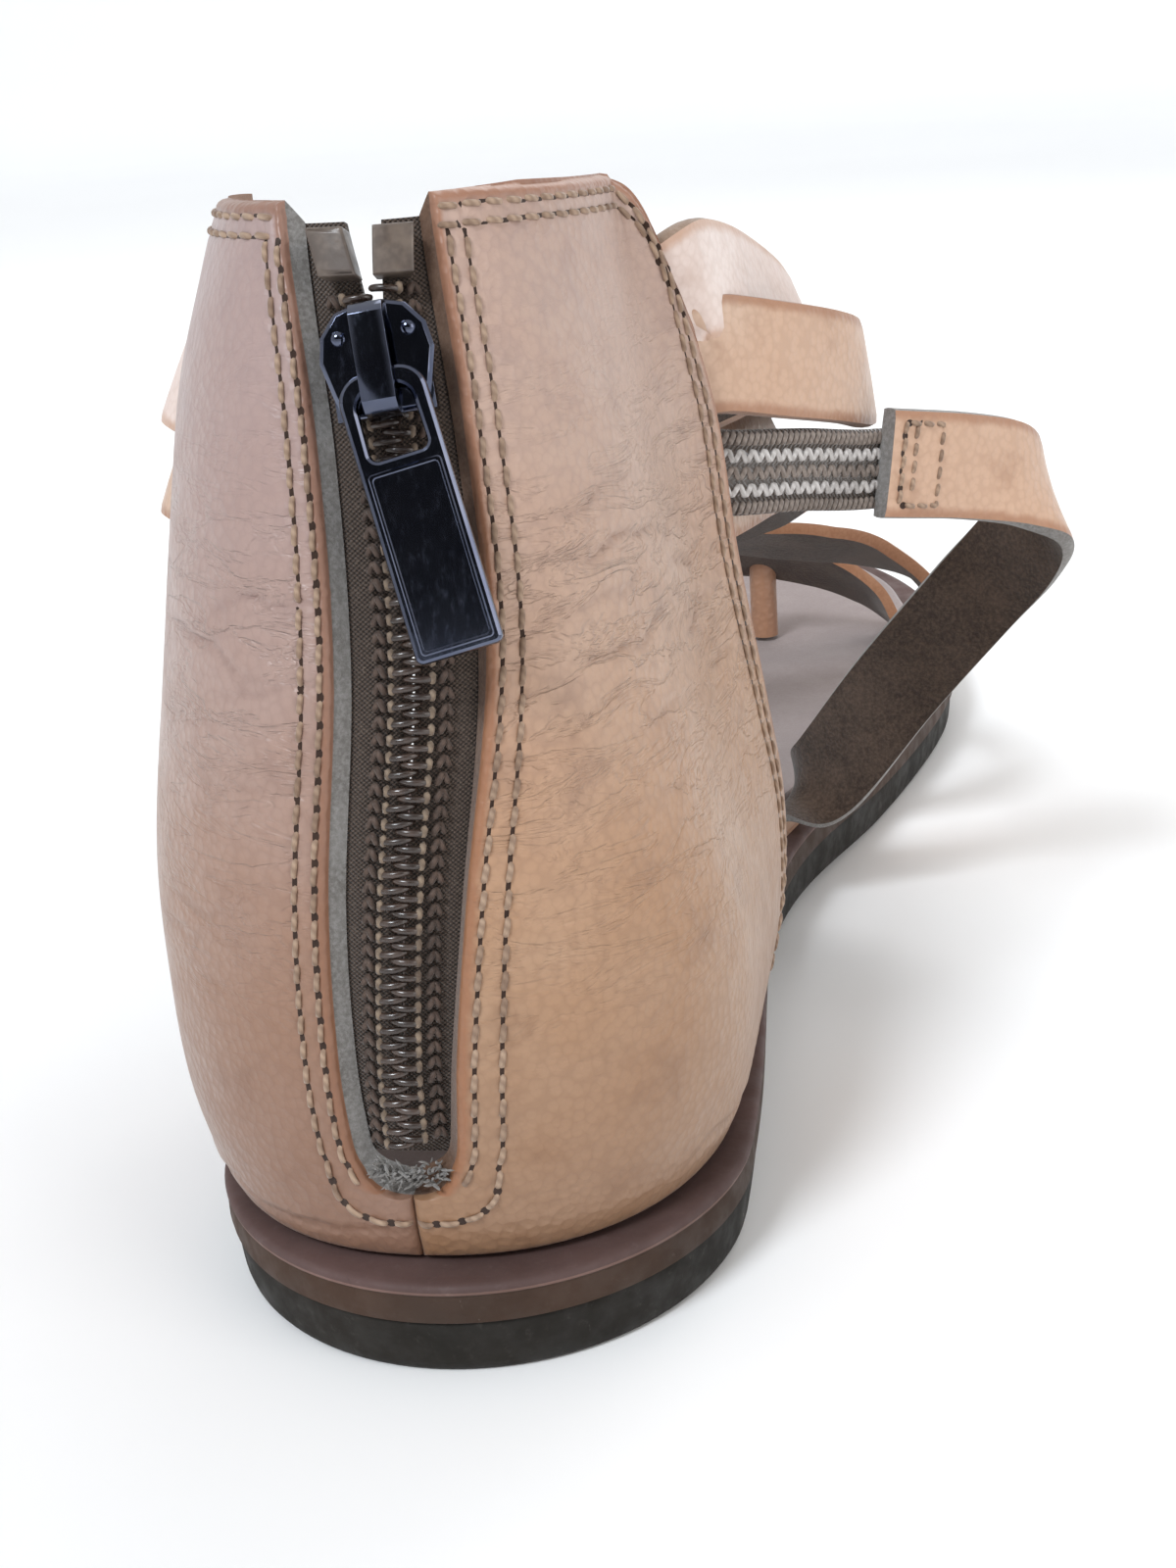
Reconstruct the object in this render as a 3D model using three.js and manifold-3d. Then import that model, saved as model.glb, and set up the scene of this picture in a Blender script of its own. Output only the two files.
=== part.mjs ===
// A left gladiator sandal: flat layered sole, leather heel counter with a back zip, and leather straps.
// Millimetres. +Y is the toe, +X the medial side, +Z up. The floor is z = 0.
// The origin is on the floor under the middle of the heel's tread.
import * as THREE from "three";
import { mergeVertices } from "three/addons/utils/BufferGeometryUtils.js";
import Module from "manifold-3d";

// Main sizes
const SOLE_LENGTH = 252;
const BALL_WIDTH = 88;
const UPPER_RISE = 93; // from the midsole's top to the collar
const OUTSOLE_THICKNESS = 5.6;
const MIDSOLE_THICKNESS = 3.9;
const FOOTBED_THICKNESS = 2.2;
const TOE_SPRING = 6;
const ARCH_RISE = 1.2;
const OUTSOLE_INSET = 0.6; // the outsole stands back from the midsole's edge
const LEDGE = 2.2; // free rim of the midsole outside a strap's foot
const WALL = 2; // leather and lining of the counter
const STRAP_WIDTH = 12;
const STRAP_THICKNESS = 2;
const ELASTIC_WIDTH = 8.8;
const ELASTIC_THICKNESS = 1.4;
const TOE_POST_RADIUS = 2.3;
const GAP = 0.3; // between neighbouring pieces

// Zip sizes
const SLOT_WIDTH = 11.6;
const COIL_WIDTH = 2.8;
const COIL_THICKNESS = 1.8;
const TAPE_THICKNESS = 0.8;
const TAPE_SEAM = 4; // tape hidden behind the leather on each side of the slot
const COIL_PARTING = 1.9; // sideways move of each coil at the collar
const SLIDER_WIDTH = 9.6;
const SLIDER_HEIGHT = 9.4;
const PLATE_THICKNESS = 1.3;
const CROWN_WIDTH = 2.8;
const PULL_WIDTH = 7.5;
const PULL_LENGTH = 24;
const PULL_THICKNESS = 1.4;
const PULL_TILT_DEG = 7.6;

const SOLE_TOP = OUTSOLE_THICKNESS + GAP + MIDSOLE_THICKNESS;
const UPPER_FOOT = SOLE_TOP + GAP;
const FOOTBED_INSET = LEDGE + WALL + 5 * GAP;
const COUNTER_EXPONENT = 2.2; // fullness of the counter's plan curve
const ARC_SHARE = 0.6; // share of each panel that turns round the heel
const FLARE_START = 0.3; // where a panel starts to flare, in shares of its run
const FLARE_LATE = 0.72; // where it flares more
const LATE_SHARE = 0.6; // share of the flare gained there
// Where the collar starts to fall towards each front edge, the share of the fall that is gentle,
// and the power of the rest.
const CORNER = {
  medial: { start: 0.22, gentle: 0.18, sharp: 14 },
  lateral: { start: 0.06, gentle: 0.05, sharp: 5 },
};
const CORNER_DROP = 0.19; // how far it falls, in shares of the rise

// Sole outline: half widths on each side of the heel's centre line, in shares of the ball width.
const OUTLINE = [
  { along: 0.0, medial: 0.322, lateral: 0.288 },
  { along: 0.15, medial: 0.322, lateral: 0.29 },
  { along: 0.34, medial: 0.292, lateral: 0.302 },
  { along: 0.42, medial: 0.318, lateral: 0.325 },
  { along: 0.55, medial: 0.43, lateral: 0.388 },
  { along: 0.71, medial: 0.532, lateral: 0.458 },
  { along: 0.8, medial: 0.525, lateral: 0.452 },
  { along: 0.9, medial: 0.462, lateral: 0.37 },
  { along: 1.0, medial: 0.385, lateral: 0.25 },
];
const HEEL_ROUND = 0.115; // length of the rounded heel end, in shares of the length
const HEEL_TRIM = 0.3 * BALL_WIDTH; // sections narrower than this take less of a layer's inset
const TOE_ROUND = 0.125;

// Heel counter by height: back line and front edge in shares of the sole's length from its heel end,
// half widths at the front edge in shares of the ball width, heights in shares of the upper's rise.
// Flare is the share of a half width that the panel gains towards its front edge.
const COUNTER = [
  { up: 0.0, back: 0.0135, lateral: 0.288, medial: 0.305, front: 0.25, flare: 0 },
  { up: 0.12, back: 0.0095, lateral: 0.323, medial: 0.331, front: 0.257, flare: 0.01 },
  { up: 0.25, back: 0.0095, lateral: 0.339, medial: 0.337, front: 0.254, flare: 0.04 },
  { up: 0.38, back: 0.0135, lateral: 0.356, medial: 0.325, front: 0.242, flare: 0.1 },
  { up: 0.57, back: 0.0255, lateral: 0.355, medial: 0.303, front: 0.224, flare: 0.17 },
  { up: 0.72, back: 0.0395, lateral: 0.344, medial: 0.29, front: 0.214, flare: 0.2 },
  { up: 0.83, back: 0.0515, lateral: 0.329, medial: 0.268, front: 0.206, flare: 0.21 },
  { up: 0.93, back: 0.063, lateral: 0.297, medial: 0.25, front: 0.197, flare: 0.22 },
  { up: 1.0, back: 0.0715, lateral: 0.268, medial: 0.235, front: 0.19, flare: 0.22 },
];
const HEEL_DEPTH = 0.119; // from the back line to the counter's widest place
const SPRING_START = 0.74; // where the sole starts to rise towards the toe
const ARCH_START = 0.27;
const ARCH_END = 0.6;
const ORIGIN_ALONG = 0.14; // where the origin lies

// The zip's slot by height: its centre in shares of the ball width, its width in shares of SLOT_WIDTH.
const SLOT = [
  { up: 0.108, centre: 0.006, width: 0.335 },
  { up: 0.114, centre: 0.006, width: 0.54 },
  { up: 0.13, centre: 0.006, width: 0.65 },
  { up: 0.22, centre: 0.008, width: 0.78 },
  { up: 0.38, centre: 0.022, width: 0.93 },
  { up: 0.6, centre: 0.047, width: 1.0 },
  { up: 0.8, centre: 0.034, width: 0.957 },
  { up: 1.0, centre: 0.003, width: 0.965 },
  { up: 1.06, centre: 0.003, width: 0.965 },
];
// Ends of the zip's pieces and the place of its slider, in shares of the rise.
const ZIP_BOTTOM = 0.15;
const COIL_TOP = 0.93;
const STOP_TOP = 0.975;
const TAPE_TOP = 0.985;
const SLIDER_AT = 0.862;
const STOP_PROUD = 0.7; // how far a top stop stands out past the coil

// Straps: centre line in shares of ball width, sole length and rise, and the way the outer face looks.
const ANKLE_UPPER = [
  { across: 0.272, along: 0.232, up: 0.862, face: [1, 0, 0.1] },
  { across: 0.314, along: 0.294, up: 0.825, face: [0.95, -0.1, 0.25] },
  { across: 0.35, along: 0.349, up: 0.768, face: [0.95, 0.2, 0.3] },
  { across: 0.35, along: 0.381, up: 0.723, face: [0.85, 0.5, 0.25] },
  { across: 0.28, along: 0.419, up: 0.712, face: [0.45, 0.88, 0.2] },
  { across: 0.1, along: 0.448, up: 0.695, face: [0.08, 1, 0.2] },
  { across: -0.12, along: 0.442, up: 0.685, face: [-0.2, 0.97, 0.2] },
  { across: -0.3, along: 0.4, up: 0.725, face: [-0.75, 0.6, 0.15] },
  { across: -0.375, along: 0.325, up: 0.762, face: [-0.9, 0.1, 0.42] },
  { across: -0.394, along: 0.262, up: 0.774, face: [-0.88, -0.15, 0.45] },
];
const ANKLE_LOWER = [
  { across: 0.284, along: 0.232, up: 0.782, face: [0.95, -0.3, 0.1] },
  { across: 0.355, along: 0.264, up: 0.758, face: [0.87, -0.5, 0.1] },
  { across: 0.413, along: 0.3, up: 0.732, face: [0.9, -0.4, 0.1] },
  { across: 0.43, along: 0.331, up: 0.71, face: [1, 0.05, 0.1] },
  { across: 0.412, along: 0.366, up: 0.698, face: [0.85, 0.5, 0.15] },
  { across: 0.305, along: 0.421, up: 0.68, face: [0.45, 0.87, 0.2] },
  { across: 0.1, along: 0.456, up: 0.645, face: [0.05, 0.97, 0.25] },
  { across: -0.125, along: 0.452, up: 0.604, face: [-0.25, 0.93, 0.25] },
  { across: -0.33, along: 0.409, up: 0.61, face: [-0.75, 0.63, 0.2] },
  { across: -0.42, along: 0.343, up: 0.63, face: [-0.93, 0.1, 0.35] },
  { across: -0.435, along: 0.28, up: 0.654, face: [-0.9, -0.15, 0.4] },
];
const SIDE_ELASTIC = [
  { across: 0.3, along: 0.234, up: 0.649, face: [0.9, -0.45, 0] },
  { across: 0.368, along: 0.266, up: 0.632, face: [0.75, -0.66, 0] },
  { across: 0.43, along: 0.297, up: 0.612, face: [0.68, -0.73, 0.03] },
  { across: 0.5, along: 0.3245, up: 0.6, face: [0.68, -0.73, 0.04] },
];
const SIDE_STRAP = [
  { across: 0.464, along: 0.299, up: 0.618, face: [0.68, -0.73, 0.04] },
  { across: 0.563, along: 0.333, up: 0.592, face: [0.7, -0.7, 0.05] },
  { across: 0.64, along: 0.361, up: 0.56, face: [0.86, -0.42, 0.2] },
  { across: 0.672, along: 0.383, up: 0.51, face: [0.93, 0.24, 0.3] },
  { across: 0.637, along: 0.396, up: 0.447, face: [0.6, 0.75, 0.25] },
  { across: 0.572, along: 0.408, up: 0.37, face: [0.25, 0.96, 0.15] },
  { across: 0.46, along: 0.422, up: 0.235, face: [0.25, 0.96, 0.15] },
  { across: 0.36, along: 0.433, up: 0.1, face: [0.55, 0.83, 0.1] },
];
const INSTEP_FROM_MEDIAL = [
  { across: 0.275, along: 0.252, up: 0.628, face: [1, 0, 0.1] },
  { across: 0.31, along: 0.335, up: 0.606, face: [0.8, 0.6, 0.1] },
  { across: 0.305, along: 0.42, up: 0.545, face: [0.45, 0.88, 0.15] },
  { across: 0.205, along: 0.5, up: 0.448, face: [0.2, 0.8, 0.55] },
  { across: 0.06, along: 0.563, up: 0.357, face: [0, 0.6, 0.8] },
  { across: -0.11, along: 0.611, up: 0.282, face: [-0.2, 0.55, 0.8] },
  { across: -0.28, along: 0.647, up: 0.187, face: [-0.5, 0.4, 0.75] },
  { across: -0.385, along: 0.663, up: 0.09, face: [-0.85, 0.15, 0.4] },
];
const INSTEP_FROM_LATERAL = [
  { across: -0.372, along: 0.288, up: 0.445, face: [-1, 0.1, 0.1] },
  { across: -0.352, along: 0.361, up: 0.475, face: [-0.9, 0.3, 0.35] },
  { across: -0.227, along: 0.44, up: 0.486, face: [-0.5, 0.45, 0.75] },
  { across: -0.057, along: 0.508, up: 0.43, face: [-0.1, 0.6, 0.8] },
  { across: 0.06, along: 0.556, up: 0.376, face: [0.05, 0.6, 0.8] },
  { across: 0.22, along: 0.602, up: 0.33, face: [0.2, 0.6, 0.78] },
  { across: 0.352, along: 0.603, up: 0.315, face: [0.42, 0.45, 0.78] },
  { across: 0.46, along: 0.583, up: 0.297, face: [0.78, 0.1, 0.6] },
  { across: 0.523, along: 0.559, up: 0.228, face: [0.98, 0.05, 0.1] },
  { across: 0.5, along: 0.54, up: 0.12, face: [0.92, 0, -0.35] },
];
const TOE_BAND = [
  { across: 0.43, along: 0.764, up: 0.06, face: [0.85, 0.2, 0.5] },
  { across: 0.37, along: 0.765, up: 0.12, face: [0.55, 0.5, 0.67] },
  { across: 0.275, along: 0.768, up: 0.166, face: [0.28, 0.65, 0.72] },
  { across: 0.15, along: 0.77, up: 0.186, face: [0.08, 0.65, 0.76] },
  { across: 0.0, along: 0.767, up: 0.186, face: [-0.1, 0.65, 0.76] },
  { across: -0.18, along: 0.757, up: 0.16, face: [-0.34, 0.55, 0.78] },
  { across: -0.32, along: 0.745, up: 0.1, face: [-0.7, 0.3, 0.65] },
];
// Where the straps stand on the midsole, in shares of the sole's length.
const FEET = {
  sideStrap: 0.437,
  instepMedial: 0.53,
  instepLateral: 0.659,
  toeMedial: 0.763,
  toeLateral: 0.735,
};
const TOE_POST = { across: 0.168, along: 0.778 };
const ANCHOR_RUN = 0.16; // length of strap behind the counter's front edge, in shares of a panel

const wasm = await Module();
wasm.setup();

const clamp01 = (value) => Math.min(1, Math.max(0, value));
const vec = (x, y, z) => new THREE.Vector3(x, y, z);
const alongToY = (along) => (along - ORIGIN_ALONG) * SOLE_LENGTH;
const yToAlong = (y) => y / SOLE_LENGTH + ORIGIN_ALONG;
const upToZ = (up) => SOLE_TOP + up * UPPER_RISE;
const zToUp = (z) => (z - SOLE_TOP) / UPPER_RISE;

// A smooth value of one column of a table, looked up by another column.
function lookUp(table, by, column, at) {
  const last = table.length - 1;
  if (at <= table[0][by]) return table[0][column];
  if (at >= table[last][by]) return table[last][column];
  const i = table.findIndex((row) => row[by] > at) - 1;
  const slope = (k) => {
    const a = table[Math.max(k - 1, 0)];
    const b = table[Math.min(k + 1, last)];
    return (b[column] - a[column]) / (b[by] - a[by]);
  };
  const span = table[i + 1][by] - table[i][by];
  const t = (at - table[i][by]) / span;
  const rise = t * t * (3 - 2 * t);
  return (
    table[i][column] * (1 - rise) +
    table[i + 1][column] * rise +
    span * t * (1 - t) * ((1 - t) * slope(i) - t * slope(i + 1))
  );
}

function solidFrom(geometry) {
  const bare = new THREE.BufferGeometry();
  const flat = geometry.index ? geometry.toNonIndexed() : geometry;
  bare.setAttribute("position", flat.getAttribute("position").clone());
  const merged = mergeVertices(bare, 1e-4);
  return new wasm.Manifold(
    new wasm.Mesh({
      numProp: 3,
      vertProperties: new Float32Array(merged.attributes.position.array),
      triVerts: new Uint32Array(merged.index.array),
    }),
  );
}

// Trimming can leave a shaving apart from the piece: keep the piece alone.
function mainBody(solid) {
  return solid.decompose().sort((a, b) => b.volume() - a.volume())[0];
}

function geometryOf(solid) {
  const mesh = solid.getMesh();
  const geometry = new THREE.BufferGeometry();
  geometry.setAttribute("position", new THREE.BufferAttribute(new Float32Array(mesh.vertProperties), 3));
  geometry.setIndex(new THREE.BufferAttribute(new Uint32Array(mesh.triVerts), 1));
  const plain = geometry.toNonIndexed();
  plain.computeVertexNormals();
  return plain;
}

function signedVolume(points, triangles) {
  let sum = 0;
  for (const [a, b, c] of triangles) {
    sum += points[a].dot(points[b].clone().cross(points[c]));
  }
  return sum;
}

// A closed solid between two sheets of points, each a list of rows of the same length.
function slab(outer, inner) {
  const rows = outer.length;
  const columns = outer[0].length;
  const points = [...outer.flat(), ...inner.flat()];
  const at = (sheet, i, j) => sheet * rows * columns + i * columns + j;
  const triangles = [];
  const quad = (a, b, c, d) => triangles.push([a, b, c], [a, c, d]);
  for (let i = 0; i < rows - 1; i++) {
    for (let j = 0; j < columns - 1; j++) {
      quad(at(0, i, j), at(0, i, j + 1), at(0, i + 1, j + 1), at(0, i + 1, j));
      quad(at(1, i, j), at(1, i + 1, j), at(1, i + 1, j + 1), at(1, i, j + 1));
    }
    quad(at(0, i, 0), at(0, i + 1, 0), at(1, i + 1, 0), at(1, i, 0));
    quad(at(0, i + 1, columns - 1), at(0, i, columns - 1), at(1, i, columns - 1), at(1, i + 1, columns - 1));
  }
  for (let j = 0; j < columns - 1; j++) {
    quad(at(0, 0, j + 1), at(0, 0, j), at(1, 0, j), at(1, 0, j + 1));
    quad(at(0, rows - 1, j), at(0, rows - 1, j + 1), at(1, rows - 1, j + 1), at(1, rows - 1, j));
  }
  if (signedVolume(points, triangles) < 0) triangles.forEach((t) => t.reverse());
  const geometry = new THREE.BufferGeometry().setFromPoints(triangles.flat().map((k) => points[k]));
  return solidFrom(geometry);
}

// Sole

function endRound(along) {
  const fromHeel = clamp01(along / HEEL_ROUND);
  const fromToe = clamp01((1 - along) / TOE_ROUND);
  return Math.sqrt(1 - (1 - fromHeel) ** 2) * Math.sqrt(1 - (1 - fromToe) ** 2);
}

// Distance of the sole's edge from the heel's centre line, on the medial (+1) or lateral (-1) side.
function soleEdge(side, along) {
  const medial = lookUp(OUTLINE, "along", "medial", along) * BALL_WIDTH;
  const lateral = lookUp(OUTLINE, "along", "lateral", along) * BALL_WIDTH;
  const centre = (medial - lateral) / 2;
  return centre + side * ((medial + lateral) / 2) * endRound(along);
}

function soleLift(along) {
  const toe = clamp01((along - SPRING_START) / (1 - SPRING_START));
  const waist = clamp01((along - ARCH_START) / (ARCH_END - ARCH_START));
  return TOE_SPRING * toe ** 2 + ARCH_RISE * Math.sin(Math.PI * waist) ** 2;
}

// One layer of the sole, inset from the outline, with its edges eased by a chamfer.
function soleLayer(bottom, top, inset, lowerEase, upperEase) {
  const stations = 37;
  const across = [-1, -0.93, -0.5, 0, 0.5, 0.93, 1];
  const upperSheet = [];
  const lowerSheet = [];
  const endTrim = inset / SOLE_LENGTH;
  for (let i = 0; i <= stations; i++) {
    const share = (1 - Math.cos((Math.PI * (i + 0.35)) / (stations + 0.7))) / 2;
    const along = share;
    const y = alongToY(endTrim + share * (1 - 2 * endTrim));
    const left = soleEdge(-1, along);
    const right = soleEdge(1, along);
    const middle = (left + right) / 2;
    const half = Math.max((right - left) / 2 - inset * Math.min(1, (right - left) / HEEL_TRIM), 0.5);
    const lift = soleLift(yToAlong(y));
    const atEnd = i === 0 || i === stations;
    const point = (u, z, ease) => {
      const eased = atEnd || Math.abs(u) === 1 ? ease : 0;
      return vec(middle + u * half, y, z + lift + eased);
    };
    lowerSheet.push(across.map((u) => point(u, bottom, lowerEase)));
    upperSheet.push(across.map((u) => point(u, top, -upperEase)));
  }
  return slab(upperSheet, lowerSheet);
}

// The sole with its clearance, to trim what stands on the midsole beside the footbed.
function seatCut() {
  const belowSeat = soleLayer(-UPPER_RISE, UPPER_FOOT, -STRAP_WIDTH, 0, 0);
  const footbedTop = UPPER_FOOT + FOOTBED_THICKNESS;
  return belowSeat.add(soleLayer(SOLE_TOP, footbedTop + GAP, FOOTBED_INSET - GAP, 0, 0));
}

// Heel counter

const rounded = (value) => Math.sign(value) * Math.abs(value) ** (2 / COUNTER_EXPONENT);

function counterSize(column, z) {
  return lookUp(COUNTER, "up", column, clamp01(zToUp(z)));
}

// Half width of the counter's round back, before its panels flare towards their front edges.
function arcHalf(side, z) {
  const half = counterSize(side < 0 ? "lateral" : "medial", z) * BALL_WIDTH;
  return half * (1 - counterSize("flare", z));
}

function panelPoint(t, z) {
  const side = t < 0 ? -1 : 1;
  const away = Math.abs(t);
  const half = arcHalf(side, z);
  const gained = half / (1 - counterSize("flare", z)) - half;
  const slow = clamp01((away - FLARE_START) / (1 - FLARE_START)) ** 1.5;
  const late = clamp01((away - FLARE_LATE) / (1 - FLARE_LATE)) ** 2;
  const flare = gained * ((1 - LATE_SHARE) * slow + LATE_SHARE * late);
  const back = alongToY(counterSize("back", z));
  const depth = HEEL_DEPTH * SOLE_LENGTH;
  const angle = (Math.min(away / ARC_SHARE, 1) * Math.PI) / 2;
  const front = alongToY(counterSize("front", z));
  const run = Math.max(away - ARC_SHARE, 0) / (1 - ARC_SHARE);
  const x = side * (half * rounded(Math.sin(angle)) + flare);
  const y = back + depth * (1 - rounded(Math.cos(angle))) + run * (front - back - depth);
  return vec(x, y, z);
}

function collarDrop(t) {
  const { start, gentle, sharp } = t < 0 ? CORNER.lateral : CORNER.medial;
  const run = clamp01((Math.abs(t) - start) / (1 - start));
  return CORNER_DROP * UPPER_RISE * (gentle * run ** 1.15 + (1 - gentle) * run ** sharp);
}

function normalOf(surface, u, v, du, dv) {
  const alongU = surface(u + du, v).sub(surface(u - du, v));
  const alongV = surface(u, v + dv).sub(surface(u, v - dv));
  return alongU.cross(alongV).normalize();
}

// A point under the counter's outer surface: t runs from -1 (lateral front edge) to 1 (medial one).
function wallPoint(t, z, depth) {
  const normal = normalOf(panelPoint, t, z, 0.004, 0.5);
  return panelPoint(t, z).addScaledVector(normal, -depth);
}

// The same wall near the back, by distance from the heel's centre line instead.
function backPoint(x, z) {
  const half = arcHalf(Math.sign(x), z);
  const share = (1 - (Math.abs(x) / half) ** COUNTER_EXPONENT) ** (1 / COUNTER_EXPONENT);
  return vec(x, alongToY(counterSize("back", z)) + HEEL_DEPTH * SOLE_LENGTH * (1 - share), z);
}

function zipPoint(offset, z, depth) {
  const x = offset + lookUp(SLOT, "up", "centre", clamp01(zToUp(z))) * BALL_WIDTH;
  const normal = normalOf(backPoint, x, z, 0.2, 0.5);
  return backPoint(x, z).addScaledVector(normal, -depth);
}

function slotHalf(z) {
  return (lookUp(SLOT, "up", "width", zToUp(z)) * SLOT_WIDTH) / 2;
}

// The counter's wall between two depths; past 1 the margin carries it on beyond the front edge.
function counterShell(outerDepth, innerDepth, margin) {
  const rows = 14;
  const columns = 38;
  const sheet = (depth) => {
    const points = [];
    for (let i = 0; i <= rows; i++) {
      const row = [];
      for (let j = 0; j <= columns; j++) {
        const t = ((2 * j) / columns - 1) * margin;
        const top = upToZ(1) - collarDrop(t);
        const z = UPPER_FOOT + (i / rows) * (top - UPPER_FOOT);
        const point = wallPoint(t, z, depth);
        if (i === 0) point.z = UPPER_FOOT;
        row.push(point);
      }
      points.push(row);
    }
    return points;
  };
  return slab(sheet(outerDepth), sheet(innerDepth));
}

const heelCounter = () => counterShell(0, WALL, 1).subtract(zipCutter()).subtract(seatCut());

// The counter with its clearance, to trim the straps sewn inside it.
const counterRoom = () => counterShell(-GAP, WALL + GAP, 1.02);

function zipCutter() {
  const rows = 22;
  const reach = 4 * WALL;
  const sheet = (depth) => {
    const points = [];
    for (let i = 0; i <= rows; i++) {
      const up = SLOT[0].up + (SLOT[SLOT.length - 1].up - SLOT[0].up) * (i / rows) ** 1.4;
      const z = upToZ(up);
      points.push([zipPoint(-slotHalf(z), z, depth), zipPoint(slotHalf(z), z, depth)]);
    }
    return points;
  };
  return slab(sheet(-reach), sheet(reach));
}

// Zip

// How far each half of the zip has moved from the closed line at a height.
function parting(z) {
  const run = clamp01((zToUp(z) - SLIDER_AT) / (1 - SLIDER_AT));
  return COIL_PARTING * run;
}

function zipStrip(side, from, to, inside, outside, depth, thickness) {
  const rows = 15;
  const sheet = (d) => {
    const points = [];
    for (let i = 0; i <= rows; i++) {
      const z = upToZ(from + ((to - from) * i) / rows);
      const near = side * (inside + parting(z));
      points.push([zipPoint(near, z, d), zipPoint(side * outside(z), z, d)]);
    }
    return points;
  };
  return slab(sheet(depth), sheet(depth + thickness));
}

const TAPE_DEPTH = WALL + GAP;
const COIL_DEPTH = TAPE_DEPTH - GAP - COIL_THICKNESS;

const zipTape = (side) =>
  zipStrip(side, ZIP_BOTTOM, TAPE_TOP, GAP / 2, (z) => slotHalf(z) + TAPE_SEAM, TAPE_DEPTH, TAPE_THICKNESS);

const coilSide = (z) => GAP / 2 + COIL_WIDTH + parting(z);
const zipCoil = (side) =>
  zipStrip(side, ZIP_BOTTOM, COIL_TOP, GAP / 2, coilSide, COIL_DEPTH, COIL_THICKNESS);

const zipStop = (side) =>
  zipStrip(
    side,
    COIL_TOP + GAP / UPPER_RISE,
    STOP_TOP,
    -GAP,
    coilSide,
    COIL_DEPTH - STOP_PROUD,
    COIL_THICKNESS + STOP_PROUD,
  );

function box(width, height, depth, x, y, z) {
  return solidFrom(new THREE.BoxGeometry(width, height, depth).translate(x, y, z));
}

function extruded(outline, holes, depth, bevel) {
  const shape = new THREE.Shape(outline.map(([x, y]) => new THREE.Vector2(x, y)));
  for (const hole of holes) shape.holes.push(new THREE.Path(hole.map(([x, y]) => new THREE.Vector2(x, y))));
  const geometry = new THREE.ExtrudeGeometry(shape, {
    depth: depth - 2 * bevel,
    bevelEnabled: bevel > 0,
    bevelThickness: bevel,
    bevelSize: bevel,
    bevelOffset: -bevel,
    bevelSegments: 1,
  });
  return geometry.translate(0, 0, bevel);
}

// Rounded rectangle from x0, y0 to x1, y1.
function roundedRect(x0, y0, x1, y1, radius) {
  const corners = [
    [x1 - radius, y0 + radius, -90],
    [x1 - radius, y1 - radius, 0],
    [x0 + radius, y1 - radius, 90],
    [x0 + radius, y0 + radius, 180],
  ];
  return corners.flatMap(([cx, cy, start]) =>
    [0, 30, 60, 90].map((turn) => {
      const angle = THREE.MathUtils.degToRad(start + turn);
      return [cx + radius * Math.cos(angle), cy + radius * Math.sin(angle)];
    }),
  );
}

// The slider's frame: x across, y up along the zip, z out of the heel.
const SLIDER_FRAME = (() => {
  const z = upToZ(SLIDER_AT);
  const up = zipPoint(0, z + 4, 0).sub(zipPoint(0, z - 4, 0)).normalize();
  const out = normalOf(backPoint, zipPoint(0, z, 0).x, z, 0.2, 0.5);
  const side = up.clone().cross(out).normalize();
  const frame = new THREE.Matrix4().makeBasis(side, up, side.clone().cross(up));
  return frame.setPosition(zipPoint(0, z, 0));
})();
const PLATE_BACK = -COIL_DEPTH + 1.5 * GAP;
const PLATE_FRONT = PLATE_BACK + PLATE_THICKNESS;
const PLATE_BEVEL = 0.35;
const BAR_HALF = PULL_THICKNESS / 2;
const BAR_OUT = PLATE_FRONT + 1.5 * GAP + BAR_HALF;
const BAR_UP = -0.21 * SLIDER_HEIGHT;
const BAR_HEIGHT = 1.5;
const CROWN_WALL = 1;
const CROWN_UPPER = 0.47 * SLIDER_HEIGHT;
const CROWN_LOWER = -0.54 * SLIDER_HEIGHT;
const FLANGE_WIDTH = 0.9;
const WINDOW_HALF = CROWN_WIDTH / 2 + 3.5 * GAP;
const WINDOW_LENGTH = 5.65;

function sliderPlate() {
  const half = SLIDER_WIDTH / 2;
  const tall = SLIDER_HEIGHT / 2;
  const outline = [
    [-0.72 * half, -tall],
    [0.72 * half, -tall],
    [0.86 * half, -0.55 * tall],
    [half, 0.05 * tall],
    [0.92 * half, 0.5 * tall],
    [0.62 * half, 0.88 * tall],
    [0.22 * half, tall],
    [-0.22 * half, tall],
    [-0.62 * half, 0.88 * tall],
    [-0.92 * half, 0.5 * tall],
    [-half, 0.05 * tall],
    [-0.86 * half, -0.55 * tall],
  ];
  return extruded(outline, [], PLATE_THICKNESS, PLATE_BEVEL).translate(0, 0, PLATE_BACK);
}

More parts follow.
